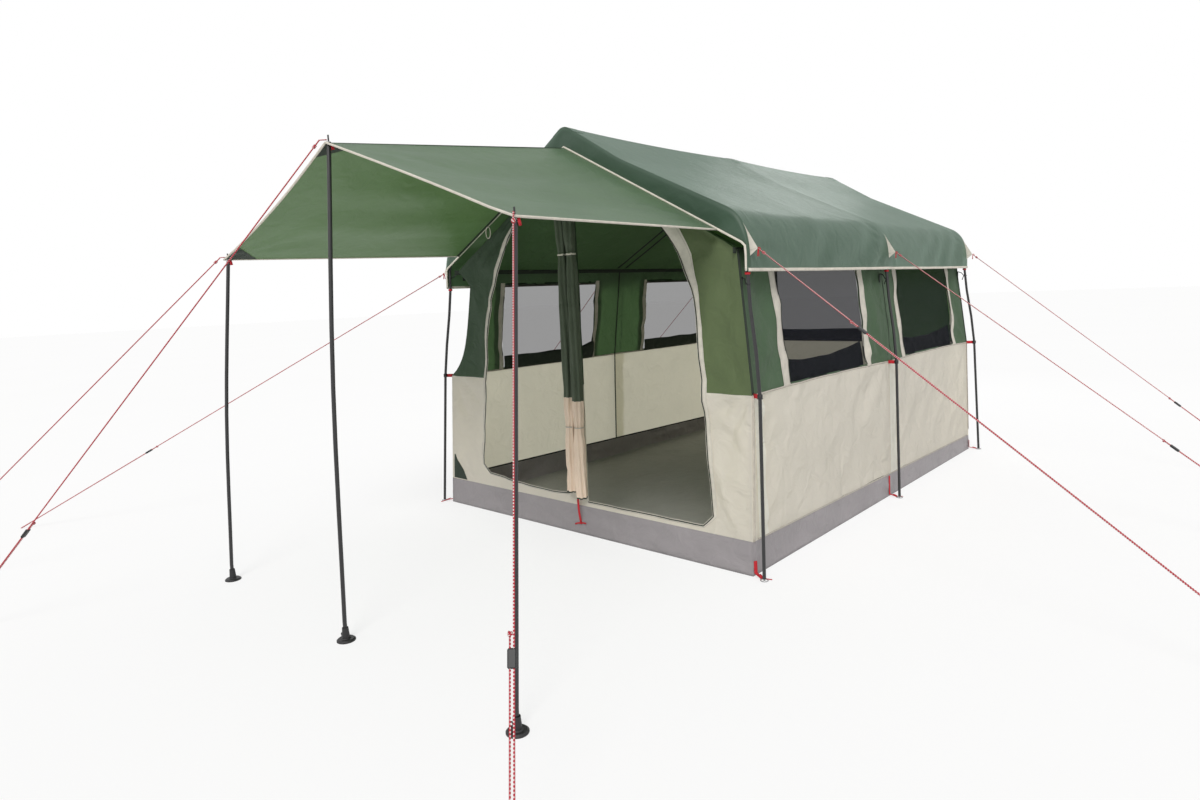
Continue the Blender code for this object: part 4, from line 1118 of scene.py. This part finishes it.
def build_door_bands():
    """The cream band round the arch, wider over the upper right, and the dark zip inside it."""
    found = []
    for name, side in SIDES.items():
        rim = door_rim(side)
        rows, acrosses, zip_points = [], [], []
        for i, spot in enumerate(rim):
            way = rim[min(i + 1, len(rim) - 1)] - rim[max(i - 1, 0)]
            out = Vector((way.z, 0, -way.x)).normalized() * side
            wide = 0.016 + 0.014 * ease((spot.z - DOOR_SILLS[side]) / 0.1)
            if side > 0:
                wide += 0.045 * ease((spot.z - 1.15) / 0.35)
            row = [spot + out * d for d in evenly(-0.004, wide - 0.004, 5)]
            rows.append([front_wall_at(p.x, p.z) - BACK * 0.0026 for p in row])
            inner = spot + out * 0.002
            zip_points.append(front_wall_at(inner.x, inner.z) - BACK * 0.0046)
            acrosses.append(out)
        built = bmesh.new()
        add_laid_tape(built, rows)
        found.append(finish_piece(built, f"door_band_{name}", [CREAM_BAND]))
        zipper = [(zip_points, acrosses, 0.005)]
        found.append(ribbon_piece(f"door_zip_{name}", zipper, DARK_SEAM_AND_PAINTED_SHADOW, 0.0022))
    return found


def build_corner_triangle():
    """A dark patch of cloth in the front wall's lower left corner."""
    def point(a, b):
        low, high = between(-1.056, -0.928, a), between(-1.050, -1.036, a)
        x, z = between(low, high, b), between(0.161, 0.310, b)
        return front_wall_at(x, z) - BACK * 0.0016

    grid = (evenly(0, 1, 4), evenly(0, 1, 5), point, 0)
    return cloth_piece("corner_patch", [grid], [CURTAIN_CLOTH])


def rear_wall_at(x, z, out=0.0):
    """The rear wall's outer face, with its slack and pulls, and how far out a trim lies on it."""
    free = limited((1 - abs(x) / max(end_reach(1, z), 1e-6)) * 12) * limited((z - 0.12) / 0.06)
    fold = 0.007 * swell(x, z, 9.0, 2.2) + 0.006 * pulls(x, z, REAR_HELD, 0.35, 8, 4.0)
    fold *= free * limited((INNER_RIDGE_Z - z) / 0.15)
    return Vector((x, end_y(z) + out + limited(fold, -0.009, 0.009), z))


def build_rear_wall():
    rows = [TUB_REAR_Z + SEAM_GAP, *evenly(0.15, WAIST_Z, 14)]
    rows += evenly(WINDOW_BOTTOM_Z, REAR_WINDOW_TOP_Z, 14)
    rows += [EAVE_Z - ROOF_SEAT, *evenly(EAVE_Z - ROOF_SEAT, INNER_RIDGE_Z - ROOF_SEAT, 12)[1:]]
    grids = []
    for side in (-1, 1):
        def panel(share, z, side=side):
            outer = end_reach(1, z)
            return rear_wall_at(side * between(min(REAR_WINDOW_X, outer), outer, share), z)

        grids.append((evenly(0, 1, 16), rows, panel, two_tone))

    def middle(share, z):
        return rear_wall_at(share * min(REAR_WINDOW_X, end_reach(1, z)), z)

    for part in ([z for z in rows if z <= WINDOW_BOTTOM_Z], [z for z in rows if z >= REAR_WINDOW_TOP_Z]):
        grids.append((evenly(-1, 1, 20), part, middle, two_tone))
    wall = cloth_piece("rear_wall_cloth", grids, [GREEN_WALL, BEIGE_WALL], ["rear_wall"])
    build_rear_trims()


def build_rear_trims():
    """A seam along the waist, outside and inside, and cream bands up both sides of the window."""
    trims = []
    outer = end_reach(1, WAIST_Z)
    for out, part in ((0.0012, "outer"), (-0.0014, "inner")):
        line = [rear_wall_at(x, WAIST_Z, out) for x in evenly(-outer, outer, 40)]
        name = f"rear_wall_seam_{part}"
        trims.append(ribbon_piece(name, [(line, UP, 0.009)], BEIGE_SEAM, SEAM_THICK))
    heights = evenly(WAIST_Z + 0.003, REAR_WINDOW_TOP_Z + 0.008, 26)
    bands = []
    for way in (-1, 1):
        x = way * (REAR_WINDOW_X + REAR_BAND_OUT)
        for out in (0.0022, -0.0026):
            bands.append(([rear_wall_at(x, z, out) for z in heights], RIGHT, REAR_BAND_WIDTH))
    trims.append(ribbon_piece("window_band_rear", bands, CREAM_BAND))
    return trims


def build_rear_window():
    """The net, and the curtain that lies let down in pleats below it."""
    columns = evenly(-REAR_WINDOW_X - WINDOW_MARGIN, REAR_WINDOW_X + WINDOW_MARGIN, 24)
    rows = evenly(WINDOW_BOTTOM_Z - WINDOW_MARGIN, REAR_WINDOW_TOP_Z + WINDOW_MARGIN, 14)
    grid = (columns, rows, lambda x, z: Vector((x, end_y(z) - 0.0035, z)), 0)
    net = cloth_piece("window_net_cloth_rear", [grid], [WINDOW_NET])

    def fallen(x, k):
        rise, deep = PLEATS[k]
        z = WAIST_Z + rise * (0.099 + 0.004 * math.sin(6 * x))
        fold = 0.004 * math.sin(17 * x + 4 * rise + 2 * deep) + 0.0015 * math.sin(34 * x + 6 * rise)
        return Vector((x, end_y(z) - CLOTH - CURTAIN_GAP - 0.006 - 0.014 * (deep - 0.5) - fold, z))

    columns = evenly(0.004 - REAR_WINDOW_X, REAR_WINDOW_X - 0.004, 60)
    grid = (columns, list(range(len(PLEATS))), fallen, 0)
    curtain = cloth_piece("curtain_cloth_rear", [grid], [CURTAIN_CLOTH])


def side_wall_at(side, y, z, out=0.0):
    """A side wall's outer face, with its slack, its pulls to the poles, and how far out a trim lies on it."""
    free = limited(bay_share(y) * 5) * limited((z - tub_top(y)) / 0.05) * limited((EAVE_Z - z) / 0.04)
    fold = 0.007 * pulls(y, z, SIDE_HELD, 0.40, 9, side) + 0.006 * swell(y, z, side * 3.0, 2.4)
    fold += 0.0035 * math.sin(34 * y + 9 * z) * limited((z - 0.82) / 0.2)
    fold += 0.012 * crumple(y - 0.6 * z, z, side + 2, 3.2)
    return Vector((side * (wall_x(side, y, z) + out + limited(fold * free, -0.010, 0.010)), y, z))


def build_side_wall(name, side):
    def reach(z):
        return end_y(z) - CLOTH - SEAM_GAP

    edges = [lambda z: -reach(z)]
    edges += [lambda z, y=y: y for ends in WINDOWS.values() for y in ends]
    edges.append(reach)
    high_rows = [WAIST_Z, *evenly(WINDOW_BOTTOM_Z, WINDOW_TOP_Z, 24)]
    high_rows += evenly(WINDOW_TOP_Z, EAVE_Z - ROOF_SEAT, 3)[1:]
    grids = []
    for number, spans in enumerate((16, 36, 24, 36, 16)):
        def low(share, up, number=number):
            z = between(TUB_FRONT_Z, WAIST_Z, up)
            y = between(edges[number](z), edges[number + 1](z), share)
            return side_wall_at(side, y, between(tub_top(y) + SEAM_GAP, WAIST_Z, up))

        def high(share, z, number=number):
            return side_wall_at(side, between(edges[number](z), edges[number + 1](z), share), z)

        columns = evenly(0, 1, spans)
        grids.append((columns, evenly(0, 1, 28), low, 1))
        if number in (1, 3):
            grids.append((columns, high_rows[:2], high, 0))
            grids.append((columns, [z for z in high_rows if z >= WINDOW_TOP_Z - 1e-6], high, 0))
        else:
            grids.append((columns, high_rows, high, 0))
    wall = cloth_piece(f"{name}_wall_cloth", grids, [GREEN_WALL, BEIGE_WALL], [f"{name}_wall"])
    trims = build_wall_seams(name, side)
    for place_name, ends in WINDOWS.items():
        trims.append(build_window_band(f"{name}_{place_name}", side, ends))
        build_net(name, place_name, side, ends)
        build_curtain(name, place_name, side, ends)


def build_window_band(name, side, ends):
    """Cream tapes up both sides of a window, outside and inside, with a dark zip beside each."""
    built = bmesh.new()
    for end, way, wide in ((ends[0], -1, 0.072), (ends[1], 1, 0.070 if ends[1] < 0 else 0.052)):
        for out, broad in ((0.0028, wide), (-0.0030, 0.034)):
            rows = []
            for z in evenly(WAIST_Z + 0.003, WINDOW_TOP_Z + 0.01, 44):
                edge = end + way * 0.002 + 0.0035 * math.sin(13 * z + 3 * end) + 0.002 * math.sin(31 * z)
                rows.append([side_wall_at(side, edge + way * a, z, out) for a in evenly(0, broad, 5)])
            add_laid_tape(built, rows)
        heights = evenly(WINDOW_BOTTOM_Z, WINDOW_TOP_Z, 20)
        zipper = [side_wall_at(side, end + way * 0.003, z, 0.0046) for z in heights]
        add_tube(built, zipper, 0.0017, 5, look=1)
    return finish_piece(built, f"window_band_{name}", [CREAM_BAND, DARK_SEAM_AND_PAINTED_SHADOW])


def build_net(name, place_name, side, ends):
    """A window's net, which bellies in a little."""
    def point(y, z):
        up = limited((z - WINDOW_BOTTOM_Z) / (WINDOW_TOP_Z - WINDOW_BOTTOM_Z))
        belly = math.sin(math.pi * limited((y - ends[0]) / (ends[1] - ends[0]))) * math.sin(math.pi * up)
        ripple = 0.002 * swell(y, z, 11.0, 6.0) * belly
        return Vector((side * (side_x(y, z) - 0.0015 - ripple - 0.003 * belly), y, z))

    columns = evenly(ends[0] - WINDOW_MARGIN, ends[1] + WINDOW_MARGIN, 24)
    rows = evenly(WINDOW_BOTTOM_Z - WINDOW_MARGIN, WINDOW_TOP_Z + WINDOW_MARGIN, 14)
    net = cloth_piece(
        f"window_net_cloth_{name}_{place_name}", [(columns, rows, point, 0)], [WINDOW_NET],
        [f"window_net_{name}_{place_name}"],
    )


def build_curtain(name, place_name, side, ends):
    """The curtain let down: it lies in pleats along the window's lower edge."""
    def point(y, k):
        along = (y - ends[0]) / (ends[1] - ends[0])
        height = 0.088 + 0.035 * ease((along - 0.8) / 0.2)
        if side > 0:
            height = 0.121 - 0.099 * along + 0.122 * along**2
        up, deep = PLEATS[k]
        z = WAIST_Z + up * (height + 0.003 * math.sin(17 * along + side) * math.sin(math.pi * along))
        fold = 0.0035 * math.sin(5 * math.pi * along + 4 * up + 2 * deep)
        fold += 0.0015 * math.sin(31 * along + 6 * up)
        gap = CLOTH + CURTAIN_GAP + 0.0045 + 0.010 * (deep - 0.5) + fold
        return Vector((side * (side_x(y, z) - gap), y, z))

    columns = evenly(ends[0] + 0.004, ends[1] - 0.004, 60)
    grid = (columns, list(range(len(PLEATS))), point, 0)
    curtain = cloth_piece(
        f"curtain_cloth_{name}_{place_name}", [grid], [CURTAIN_CLOTH],
        [f"window_curtain_{name}_{place_name}"], rides=False,
    )
    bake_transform(curtain)


# The side walls' pale facings: where their middles are, how wide they are and where they start
PALE_FACINGS = ((0.085, 0.095, tub_top(0)), (-1.455, 0.080, TUB_FRONT_Z))


def build_wall_seams(name, side):
    """Sewn seams along the waist, eave and tub's rim and up the middle and corners, and pale facings."""
    reach = end_y(WAIST_Z) - CLOTH - SEAM_GAP
    eave = EAVE_Z - 0.012

    def upright(y_at, low, high, out):
        return [side_wall_at(side, y_at(z), z, out) for z in evenly(low, high, 30)]

    def along(z_at, out):
        return [side_wall_at(side, y, z_at(y), out) for y in evenly(-reach, reach, 80)]

    light = [(along(lambda y: WAIST_Z, out), UP, 0.009) for out in (0.0020, -0.0020)]
    light.append((along(lambda y: tub_top(y) + 0.005, 0.0020), UP, 0.008))
    dark = [
        (upright(lambda z: 0.035, tub_top(0) + 0.004, eave, -0.0022), BACK, 0.013),
        (upright(lambda z: 0.090, WAIST_Z + 0.004, eave, 0.0014), BACK, 0.005),
        (along(lambda y: tub_top(y) + 0.005, -0.0016), UP, 0.010),
        (along(lambda y: EAVE_Z - 0.014, -0.0016), UP, 0.026),
    ]
    for facing in (-1, 1):
        def corner(z, facing=facing):
            return facing * (end_y(z) - 0.006)

        outer, inner = Vector((side, -facing, 0)), Vector((side, facing, 0))
        dark.append((upright(corner, WAIST_Z, eave, 0.0016), outer, 0.013))
        dark.append((upright(corner, TUB_REAR_Z + 0.05, eave, -0.005), inner, 0.010))
        light.append((upright(corner, TUB_FRONT_Z, WAIST_Z, 0.0016), outer, 0.013))
    found = []
    for part, runs, look in (("light", light, BEIGE_SEAM), ("dark", dark, DARK_SEAM_AND_PAINTED_SHADOW)):
        found.append(ribbon_piece(f"{name}_wall_{part}_seams", runs, look, SEAM_THICK))
    pale = bmesh.new()
    for y, wide, low in PALE_FACINGS:
        ys = evenly(y - wide / 2, y + wide / 2, 5)
        heights = evenly(low + 0.008, WAIST_Z - 0.004, 30)
        add_laid_tape(pale, [[side_wall_at(side, y_here, z, 0.0026) for y_here in ys] for z in heights])
    found.append(finish_piece(pale, f"{name}_wall_pale_seams", [PALE_FACING]))
    return found


def build_inner_roof():
    """The inner tent's roof, with dark strips under its poles, which are painted shadows of the poles seen
    through it, and a seam along its ridge.
    """
    reach = end_y(EAVE_Z)

    def point(share, y):
        x = share * side_x(y, EAVE_Z)
        free = limited(bay_share(y) * 4) * limited((1 - abs(share)) * 8) * limited(abs(share) * 8)
        fold = 0.006 * swell(share, y, 21.0, 2.4) + 0.004 * pulls(share, y, ROOF_HELD, 0.4, 9, 6.0)
        return Vector((x, y, roof_z(x, y) - 0.001 + limited(fold * free, -0.008, 0.008)))

    rows = [*evenly(-reach, MIDDLE_Y, 26), *evenly(MIDDLE_Y, reach, 26)[1:]]
    grid = (evenly(-1, 1, 48), rows, point, 0)
    roof = cloth_piece("inner_roof_cloth", [grid], [ROOF_LINING], ["inner_roof"])
    runs = []
    # Dark strips along the arches under the roof: painted shadows of the poles that lie over it, the middle
    # arch's as two lines.
    pole_shadow_strips = (-ARCH_Y + 0.04, MIDDLE_Y - 0.045, MIDDLE_Y + 0.045, ARCH_Y - 0.04)
    for y, wide in zip(pole_shadow_strips, (0.030, 0.022, 0.022, 0.030)):
        line = [point(share, y) - UP * 0.002 for share in evenly(-0.985, 0.985, 60)]
        runs.append((line, BACK, wide))
    runs.append(([point(0, y) - UP * 0.0022 for y in evenly(-reach + 0.01, reach - 0.01, 60)], RIGHT, 0.018))
    seams = ribbon_piece("inner_roof_seams", runs, DARK_SEAM_AND_PAINTED_SHADOW, SEAM_THICK)


def build_tub():
    """The groundsheet: a floor with turned-up sides."""
    y_end = end_y(0)
    x_end = HALF_WIDTH - BASE_INSET

    def loose(share, up):
        return math.sin(math.pi * up) * limited((1 - abs(share)) * 8)

    def floor(share_x, share_y):
        x, y = share_x * x_end, share_y * y_end
        free = limited((1 - abs(share_x)) * 6) * limited((1 - abs(share_y)) * 8)
        lift = 0.0045 * max(swell(x, y, 31.0, 3.0) + 0.3, 0)
        lift += 0.002 * abs(pulls(x, y, TUB_HELD, 0.5, 10, 1.0))
        return Vector((x, y, TUB_LIFT + free * lift))

    def side_grid(side):
        def point(share_y, up):
            y_low = share_y * y_end
            z = tub_top(share_y * HALF_DEPTH) * up
            fold = 0.005 * math.sin(9 * y_low + 3 * side) + 0.005 * swell(y_low, up, side * 5.0, 4.0)
            fold = (fold + 0.010 * crumple(y_low + z, 2 * z, side + 6, 4.5)) * loose(share_y, up)
            y = share_y * end_y(z)
            return Vector((side * (side_x(y, z) + fold), y, max(z, TUB_LIFT)))
        return point

    def end_grid(facing):
        def point(share_x, up):
            z = tub_top(facing * HALF_DEPTH) * up
            x = share_x * side_x(facing * end_y(z), z)
            fold = 0.006 * math.sin(8 * x + 2) + 0.006 * swell(x, up, facing * 6.0, 4.0)
            fold = (fold + 0.011 * crumple(x + z, 2 * z, facing + 9, 4.5)) * loose(share_x, up)
            return Vector((x, facing * (end_y(z) + fold), max(z, TUB_LIFT)))
        return point

    xs, ys, ups = evenly(-1, 1, 80), evenly(-1, 1, 110), evenly(0, 1, 9)
    # The floor takes the paler copy of the grey, which is painted light.
    grids = [(xs, ys, floor, 1)]
    grids += [(ys, ups, side_grid(side), 0) for side in (-1, 1)]
    grids += [(xs, ups, end_grid(facing), 0) for facing in (-1, 1)]
    tub = cloth_piece("groundsheet_tub", grids, [GROUND_CLOTH, FLOOR_CLOTH_PAINTED_LIGHT], ["floor_tub"])


# Rolled door panels

def roll_share(z):
    """A roll's thickness at a height, as a share of its full one."""
    tied = [(1 - neck) * math.exp(-(((z - at) / ROLL_TIE_REACH) ** 2)) for at, neck in ROLL_TIES.items()]
    return 1 - sum(tied)


def roll_axis(side, z):
    """The middle of a roll at a height."""
    y = -end_y(z) - SEAM_GAP - CLOTH - ROLL_RADIUS * 1.05
    return Vector((rolls_x(z) + side * ROLL_SPREAD, y, z))


def build_roll(name, side):
    """One door panel, rolled from its jamb up to the strip and tied: a sheet wound seven or eight times."""
    half = DOOR_HALVES[side]
    width = half - 0.02
    core, outer = ROLL_CORE, ROLL_RADIUS * 0.97
    pitch = math.pi * (outer**2 - core**2) / width
    steps = ROLL_STEPS
    count = int((outer - core) / pitch * steps)
    runs = [0.0]
    for k in range(1, count + 1):
        runs.append(runs[-1] + (core + pitch * (k - 0.5) / steps) * 2 * math.pi / steps)
    rise = DOOR_TOP_Z - DOOR_SPRING_Z
    bottom = ROLL_BOTTOM_Z + (0.030 if side < 0 else 0.003)

    def groove(a, at, wide):
        off = (a - at + math.pi) % (2 * math.pi) - math.pi
        return math.exp(-((off / wide) ** 2))

    def point(k, up):
        out = half * (1 - runs[k] / runs[-1])
        arch = DOOR_SPRING_Z + rise * math.sqrt(max(1 - (out / half) ** 2, 0))
        z = between(bottom, min(arch, ROLL_TOP_Z - 0.004), up)
        a = -side * 2 * math.pi * (k - count) / steps + math.pi / 2
        sway = 0.35 * math.sin(3.1 * z + side) + 0.15 * math.sin(8.3 * z)
        shape = 1.10 - 0.42 * groove(a, -0.9 + sway, 0.20) - 0.34 * groove(a, 0.2 + 0.7 * sway, 0.22)
        shape -= 0.36 * groove(a, -1.9 + 0.8 * sway, 0.22) + 0.15 * groove(a, 1.9 - sway, 0.3)
        rumple, rate = (0.15, 7) if z > ROLL_TONE_Z else (0.25, 16)
        shape += rumple * noise.noise(Vector((math.cos(a) * 1.6, math.sin(a) * 1.6, z * rate + side)))
        radius = (core + pitch * k / steps) * roll_share(z) * shape
        return roll_axis(side, z) + Vector((math.cos(a), math.sin(a), 0)) * radius

    def look(middle):
        if middle.z < bottom + 0.007:
            return 2
        return 0 if middle.z > ROLL_TONE_Z else 1

    rows = [0, 0.005, *evenly(0.02, 1, 52)]
    grid = (list(range(count + 1)), rows, point, look)
    roll = cloth_piece(
        f"door_panel_{name}", [grid], [ROLL_GREEN, ROLL_BEIGE, DARK_SEAM_AND_PAINTED_SHADOW], [f"door_roll_{name}"]
    )


def build_roll_ties():
    """A loop with a small toggle round each roll's upper neck, and a plain tie round its lower one."""
    for (z, share), look, wide in zip(ROLL_TIES.items(), (CREAM_TAPE, BEIGE_SEAM), (0.009, 0.006)):
        for name, side in SIDES.items():
            centre = roll_axis(side, z)
            radius = ROLL_RADIUS * share
            loop = ring(centre, RIGHT, BACK, radius + 0.0005, 24)
            ribbon_piece(f"roll_tie_{round(z * 100)}_{name}", [(loop, UP, wide, True)], look)
            if look is CREAM_TAPE:
                spot = centre + Vector((0.55, -0.83, 0)) * (radius + 0.004)
                bar = [spot + Vector((d * 0.83, d * 0.55, 0.2 * d)) for d in evenly(-0.013, 0.013, 6)]
                shares = [0.5, 0.9, 1, 1, 1, 0.9, 0.5]
                tube_piece(f"roll_toggle_{name}", bar, 0.0048, CREAM_TAPE, "door_panel", shares=shares)


# Small trim on the frame

def sewn_y(pole, z, margin=0.01):
    """Where along its wall a pole's trim is sewn: beside the pole, but clear of the corner."""
    return limited(pole.y, margin - end_y(z), end_y(z) - margin)


def level_ways(wall, pole):
    """Level directions from the wall out to the pole, and square to that."""
    out = pole - wall
    out.z = 0
    out.normalize()
    return out, Vector((-out.y, out.x, 0))


def build_waist_clip(arch, name, side):
    """Red webbing from the wall's waist to a black clip on the leg."""
    pole = leg_point(side, arch, WAIST_Z)
    y = sewn_y(pole, WAIST_Z)
    wall = Vector((side * (side_x(y, WAIST_Z) + 0.002), y, WAIST_Z))
    out, level = level_ways(wall, pole)
    near = pole - out * (POLE_RADIUS + 0.003)
    latch = [near + UP * 0.006, near + out * 0.004 + level * 0.016 - UP * 0.012]
    built = bmesh.new()
    collar = ring(pole, out, level, POLE_RADIUS + 0.0022, 16)
    add_ribbon(built, collar, UP, 0.020, 0.0026, look=1, closed=True)
    add_ribbon(built, [wall, wall.lerp(near, 0.5), near], UP, 0.020, 0.0024)
    add_ribbon(built, latch, UP, 0.010, 0.003, look=1)
    finish_piece(built, f"waist_clip_{arch}_{name}", [RED_TAPE, BLACK_PLASTIC])


def build_hem_hook(arch, name, side):
    """A black hook that hangs the inner tent on the leg under the fly's hem, and the hem's red loop."""
    slipped = (arch, name) == ("front", "left")
    z = HEM_Z + 0.06 if slipped else HEM_Z - 0.055
    pole = leg_point(side, arch, z)
    y = sewn_y(pole, z)
    wall = Vector((side * (wall_x(side, y, z) + 0.003), y, z + 0.03))
    out, level = level_ways(wall, pole)
    hook = [wall, wall.lerp(pole, 0.5) + UP * 0.006]
    for a in evenly(-2.4, 2.2, 10):
        hook.append(pole + (out * math.cos(a) + level * math.sin(a)) * (POLE_RADIUS + 0.0028))
    hook += [hook[-1] - UP * 0.012 - out * 0.004, hook[-1] - UP * 0.030 - out * 0.010]
    tube_piece(f"hem_hook_{arch}_{name}", hook, 0.0027, BLACK_PLASTIC, "hub_plastic")
    top = wall + RIGHT * (side * 0.001)
    ribbon_piece(f"hem_strap_{arch}_{name}", [([top - UP * 0.05, top], BACK, 0.018)], DARK_SEAM_AND_PAINTED_SHADOW)
    loop = ring(leg_point(side, arch, HEM_Z - 0.010), out, level, POLE_RADIUS + 0.003, 16)
    ribbon_piece(f"hem_loop_{arch}_{name}", [(loop, UP, 0.011, True)], RED_TAPE, 0.002)


def build_foot_strap(arch, name, side):
    """Red webbing down the tub's side to a ring, with the pin that stands in the leg's end."""
    foot = leg_point(side, arch, LEG_END_Z)
    y = sewn_y(foot, 0.02, 0.012)
    heights = evenly(0.125 if arch == "middle" else 0.07, 0.016, 3)
    face = [Vector((side * (side_x(y, z) + 0.006), y, z)) for z in heights]
    out, level = level_ways(face[-1], foot)
    catch = Vector((foot.x, foot.y, 0.007)) - out * (POLE_RADIUS + 0.008)
    back = [catch + UP * 0.003, catch.lerp(face[-1], 0.5) + UP * 0.006]
    steps = ((0.004, 0, 0), (0.02, 0.012, 0.002), (0.036, 0.022, 0.004))
    tail = [catch + level * a + out * b - UP * c for a, b, c in steps]
    hoop = ring(Vector((foot.x, foot.y, 0.0042)), out, level, POLE_RADIUS + 0.0085, 22)
    built = bmesh.new()
    add_ribbon(built, [*face, face[-1].lerp(catch, 0.6), catch], level, 0.018, 0.0022)
    add_ribbon(built, back, level, 0.018, 0.0022)
    add_tube(built, hoop, 0.0021, closed=True, look=1)
    add_ribbon(built, tail, out, 0.010, 0.0018)
    finish_piece(built, f"foot_strap_{arch}_{name}", [RED_TAPE, STEEL])
    pin = [Vector((foot.x, foot.y, z)) for z in (0.0035, 0.02)]
    tube_piece(f"foot_pin_{arch}_{name}", pin, 0.0045, STEEL, "frame_pole", sides=12)


def build_porch_tapes():
    """Red webbing loops under the canopy's eyelets, their steel rings, and the cream hanging loop."""
    for name in PORCH_TOPS:
        spot = porch_top(name)
        runs = []
        for way in (-1, 1):
            ends = [spot + Vector((way * 0.0095, 0.006, -0.004)), spot + Vector((way * 0.011, 0.010, -0.026))]
            runs.append((ends, BACK, 0.012))
        ribbon_piece(f"pole_tape_{name}", runs, RED_TAPE, 0.0018)
        washer = ring(spot + UP * 0.0015, RIGHT, BACK, 0.0075, 18)
        tube_piece(f"eyelet_ring_{name}", washer, 0.0018, STEEL, "canopy_cloth", closed=True)
    top = Vector((-0.62, -FLY_Y - CANOPY_GAP - 0.004, 1.665))
    drop = [top + Vector((0.020 * math.sin(a), -0.002, -0.032 * (1 - math.cos(a)))) for a in full_turn(18)]
    tube_piece("hanging_loop", drop, 0.0028, CREAM_TAPE, "canopy_cloth", closed=True, sides=6)


def build_front_tie():
    """The red tie below the rolls, knotted over the tub's front, with two short ends."""
    y = -end_y(0.1) - 0.009
    line = [
        Vector((between(0.028, 0.043, t), y - 0.004 * math.sin(math.pi * t), between(0.190, 0.062, t)))
        for t in evenly(0, 1, 6)
    ]
    built = bmesh.new()
    add_ribbon(built, line, RIGHT, 0.015, 0.002)
    knot = line[-1]
    for way, drop in ((-1, -0.012), (1, 0.004)):
        end = knot + Vector((way * 0.040, -0.004, drop))
        middle = knot.lerp(end, 0.5) + Vector((0, -0.004, 0.003))
        add_ribbon(built, [knot, middle, end], UP, 0.008, 0.002)
    add_tube(built, [knot + Vector((d, -0.003, 0)) for d in evenly(-0.007, 0.007, 4)], 0.006)
    finish_piece(built, "front_tie", [RED_TAPE])


# Frame's own materials

def paint_frame():
    for thing in bpy.data.objects:
        if "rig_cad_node" not in thing or thing.hide_render:
            continue
        name = thing["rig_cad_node"]
        black = BLACK_PLASTIC if name.startswith(("hub_", "porch_foot_", "guy_slider_")) else POLE_COAT
        thing.data.materials.clear()
        thing.data.materials.append(black)
        thing.data.shade_smooth()
        thing.data.set_sharp_from_angle(angle=math.radians(40))


# Light, floor and backdrop

FLOOR_REACH = 60.0
FLOOR_GLOW = 0.68  # how far the floor that the camera sees is its own white
SOFT_SKY = (0.985, 0.99, 1.0, 1)
SOFT_SKY_STRENGTH = 0.53
SUN_WAY = Vector((0.50, -0.76, 0.82))
SUN_COLOUR = (1.0, 0.985, 0.96)
PANEL_SPOT = Vector((-1.7, 4.9, 3.55))  # behind the tent, where the fly mirrors it to the camera
PANEL_AIM = Vector((0.62, -0.37, 1.79))


def seen_by_eye(tree):
    """1 for rays from the camera, also by way of a mirror or glass, and 0 for those that light the object."""
    rays = node(tree, "LightPath").outputs
    seen = maths(tree, "MAXIMUM", rays["Is Camera Ray"], rays["Is Glossy Ray"])
    return maths(tree, "MAXIMUM", seen, rays["Is Transmission Ray"])


def build_floor():
    corners = [(x * FLOOR_REACH, y * FLOOR_REACH, 0) for x, y in ((-1, -1), (1, -1), (1, 1), (-1, 1))]
    mesh = bpy.data.meshes.new("floor")
    mesh.from_pydata(corners, [], [(0, 1, 2, 3)])
    floor = placed("floor", mesh)
    made, tree = new_look("floor_look")
    shade, _ = mottled(tree, (0.97, 0.97, 0.97), 0.6, 0.01)
    share = maths(tree, "MULTIPLY", seen_by_eye(tree), FLOOR_GLOW)
    put_out(tree, mixed(tree, share, node(tree, "BsdfDiffuse", {"Color": shade}), node(tree, "Emission")))
    mesh.materials.append(made)


def build_sky():
    """Soft light all round, seen as plain white."""
    world = bpy.data.worlds.new("studio")
    bpy.context.scene.world = world
    world.use_nodes = True
    tree = world.node_tree
    tree.nodes.clear()
    soft = node(tree, "Background", {"Color": SOFT_SKY, "Strength": SOFT_SKY_STRENGTH})
    white = node(tree, "Background", {"Color": (1, 1, 1, 1), "Strength": 1.0})
    put_out(tree, mixed(tree, seen_by_eye(tree), soft, white), "World")


def build_lamp(name, kind, spot, way, **values):
    """A lamp at a spot that shines against a way."""
    light = bpy.data.lights.new(name, kind)
    for key, value in values.items():
        setattr(light, key, value)
    lamp = placed(name, light)
    lamp.matrix_world = Matrix.Translation(spot) @ way.to_track_quat("Z", "Y").to_matrix().to_4x4()
    return lamp


def build_stage():
    build_floor()
    build_sky()
    build_lamp("soft_sun", "SUN", (0, 0, 0), SUN_WAY, energy=2.0, angle=math.radians(25), color=SUN_COLOUR)
    panel = build_lamp(
        "rear_panel", "AREA", PANEL_SPOT, PANEL_SPOT - PANEL_AIM, shape="DISK", size=2.0, energy=27
    )
    panel.visible_camera = False
    bpy.context.scene.view_settings.view_transform = "Standard"


build_camera()
build_ropes()
build_fly()
build_canopy()
build_front_wall()
build_rear_wall()
build_rear_window()
for side_name, side_sign in SIDES.items():
    build_side_wall(side_name, side_sign)
build_inner_roof()
build_tub()
for side_name, side_sign in SIDES.items():
    build_roll(side_name, side_sign)
build_roll_ties()
for build_trim in (build_waist_clip, build_hem_hook, build_foot_strap):
    for leg in LEGS:
        build_trim(*leg)
build_porch_tapes()
build_front_tie()
paint_frame()
build_stage()
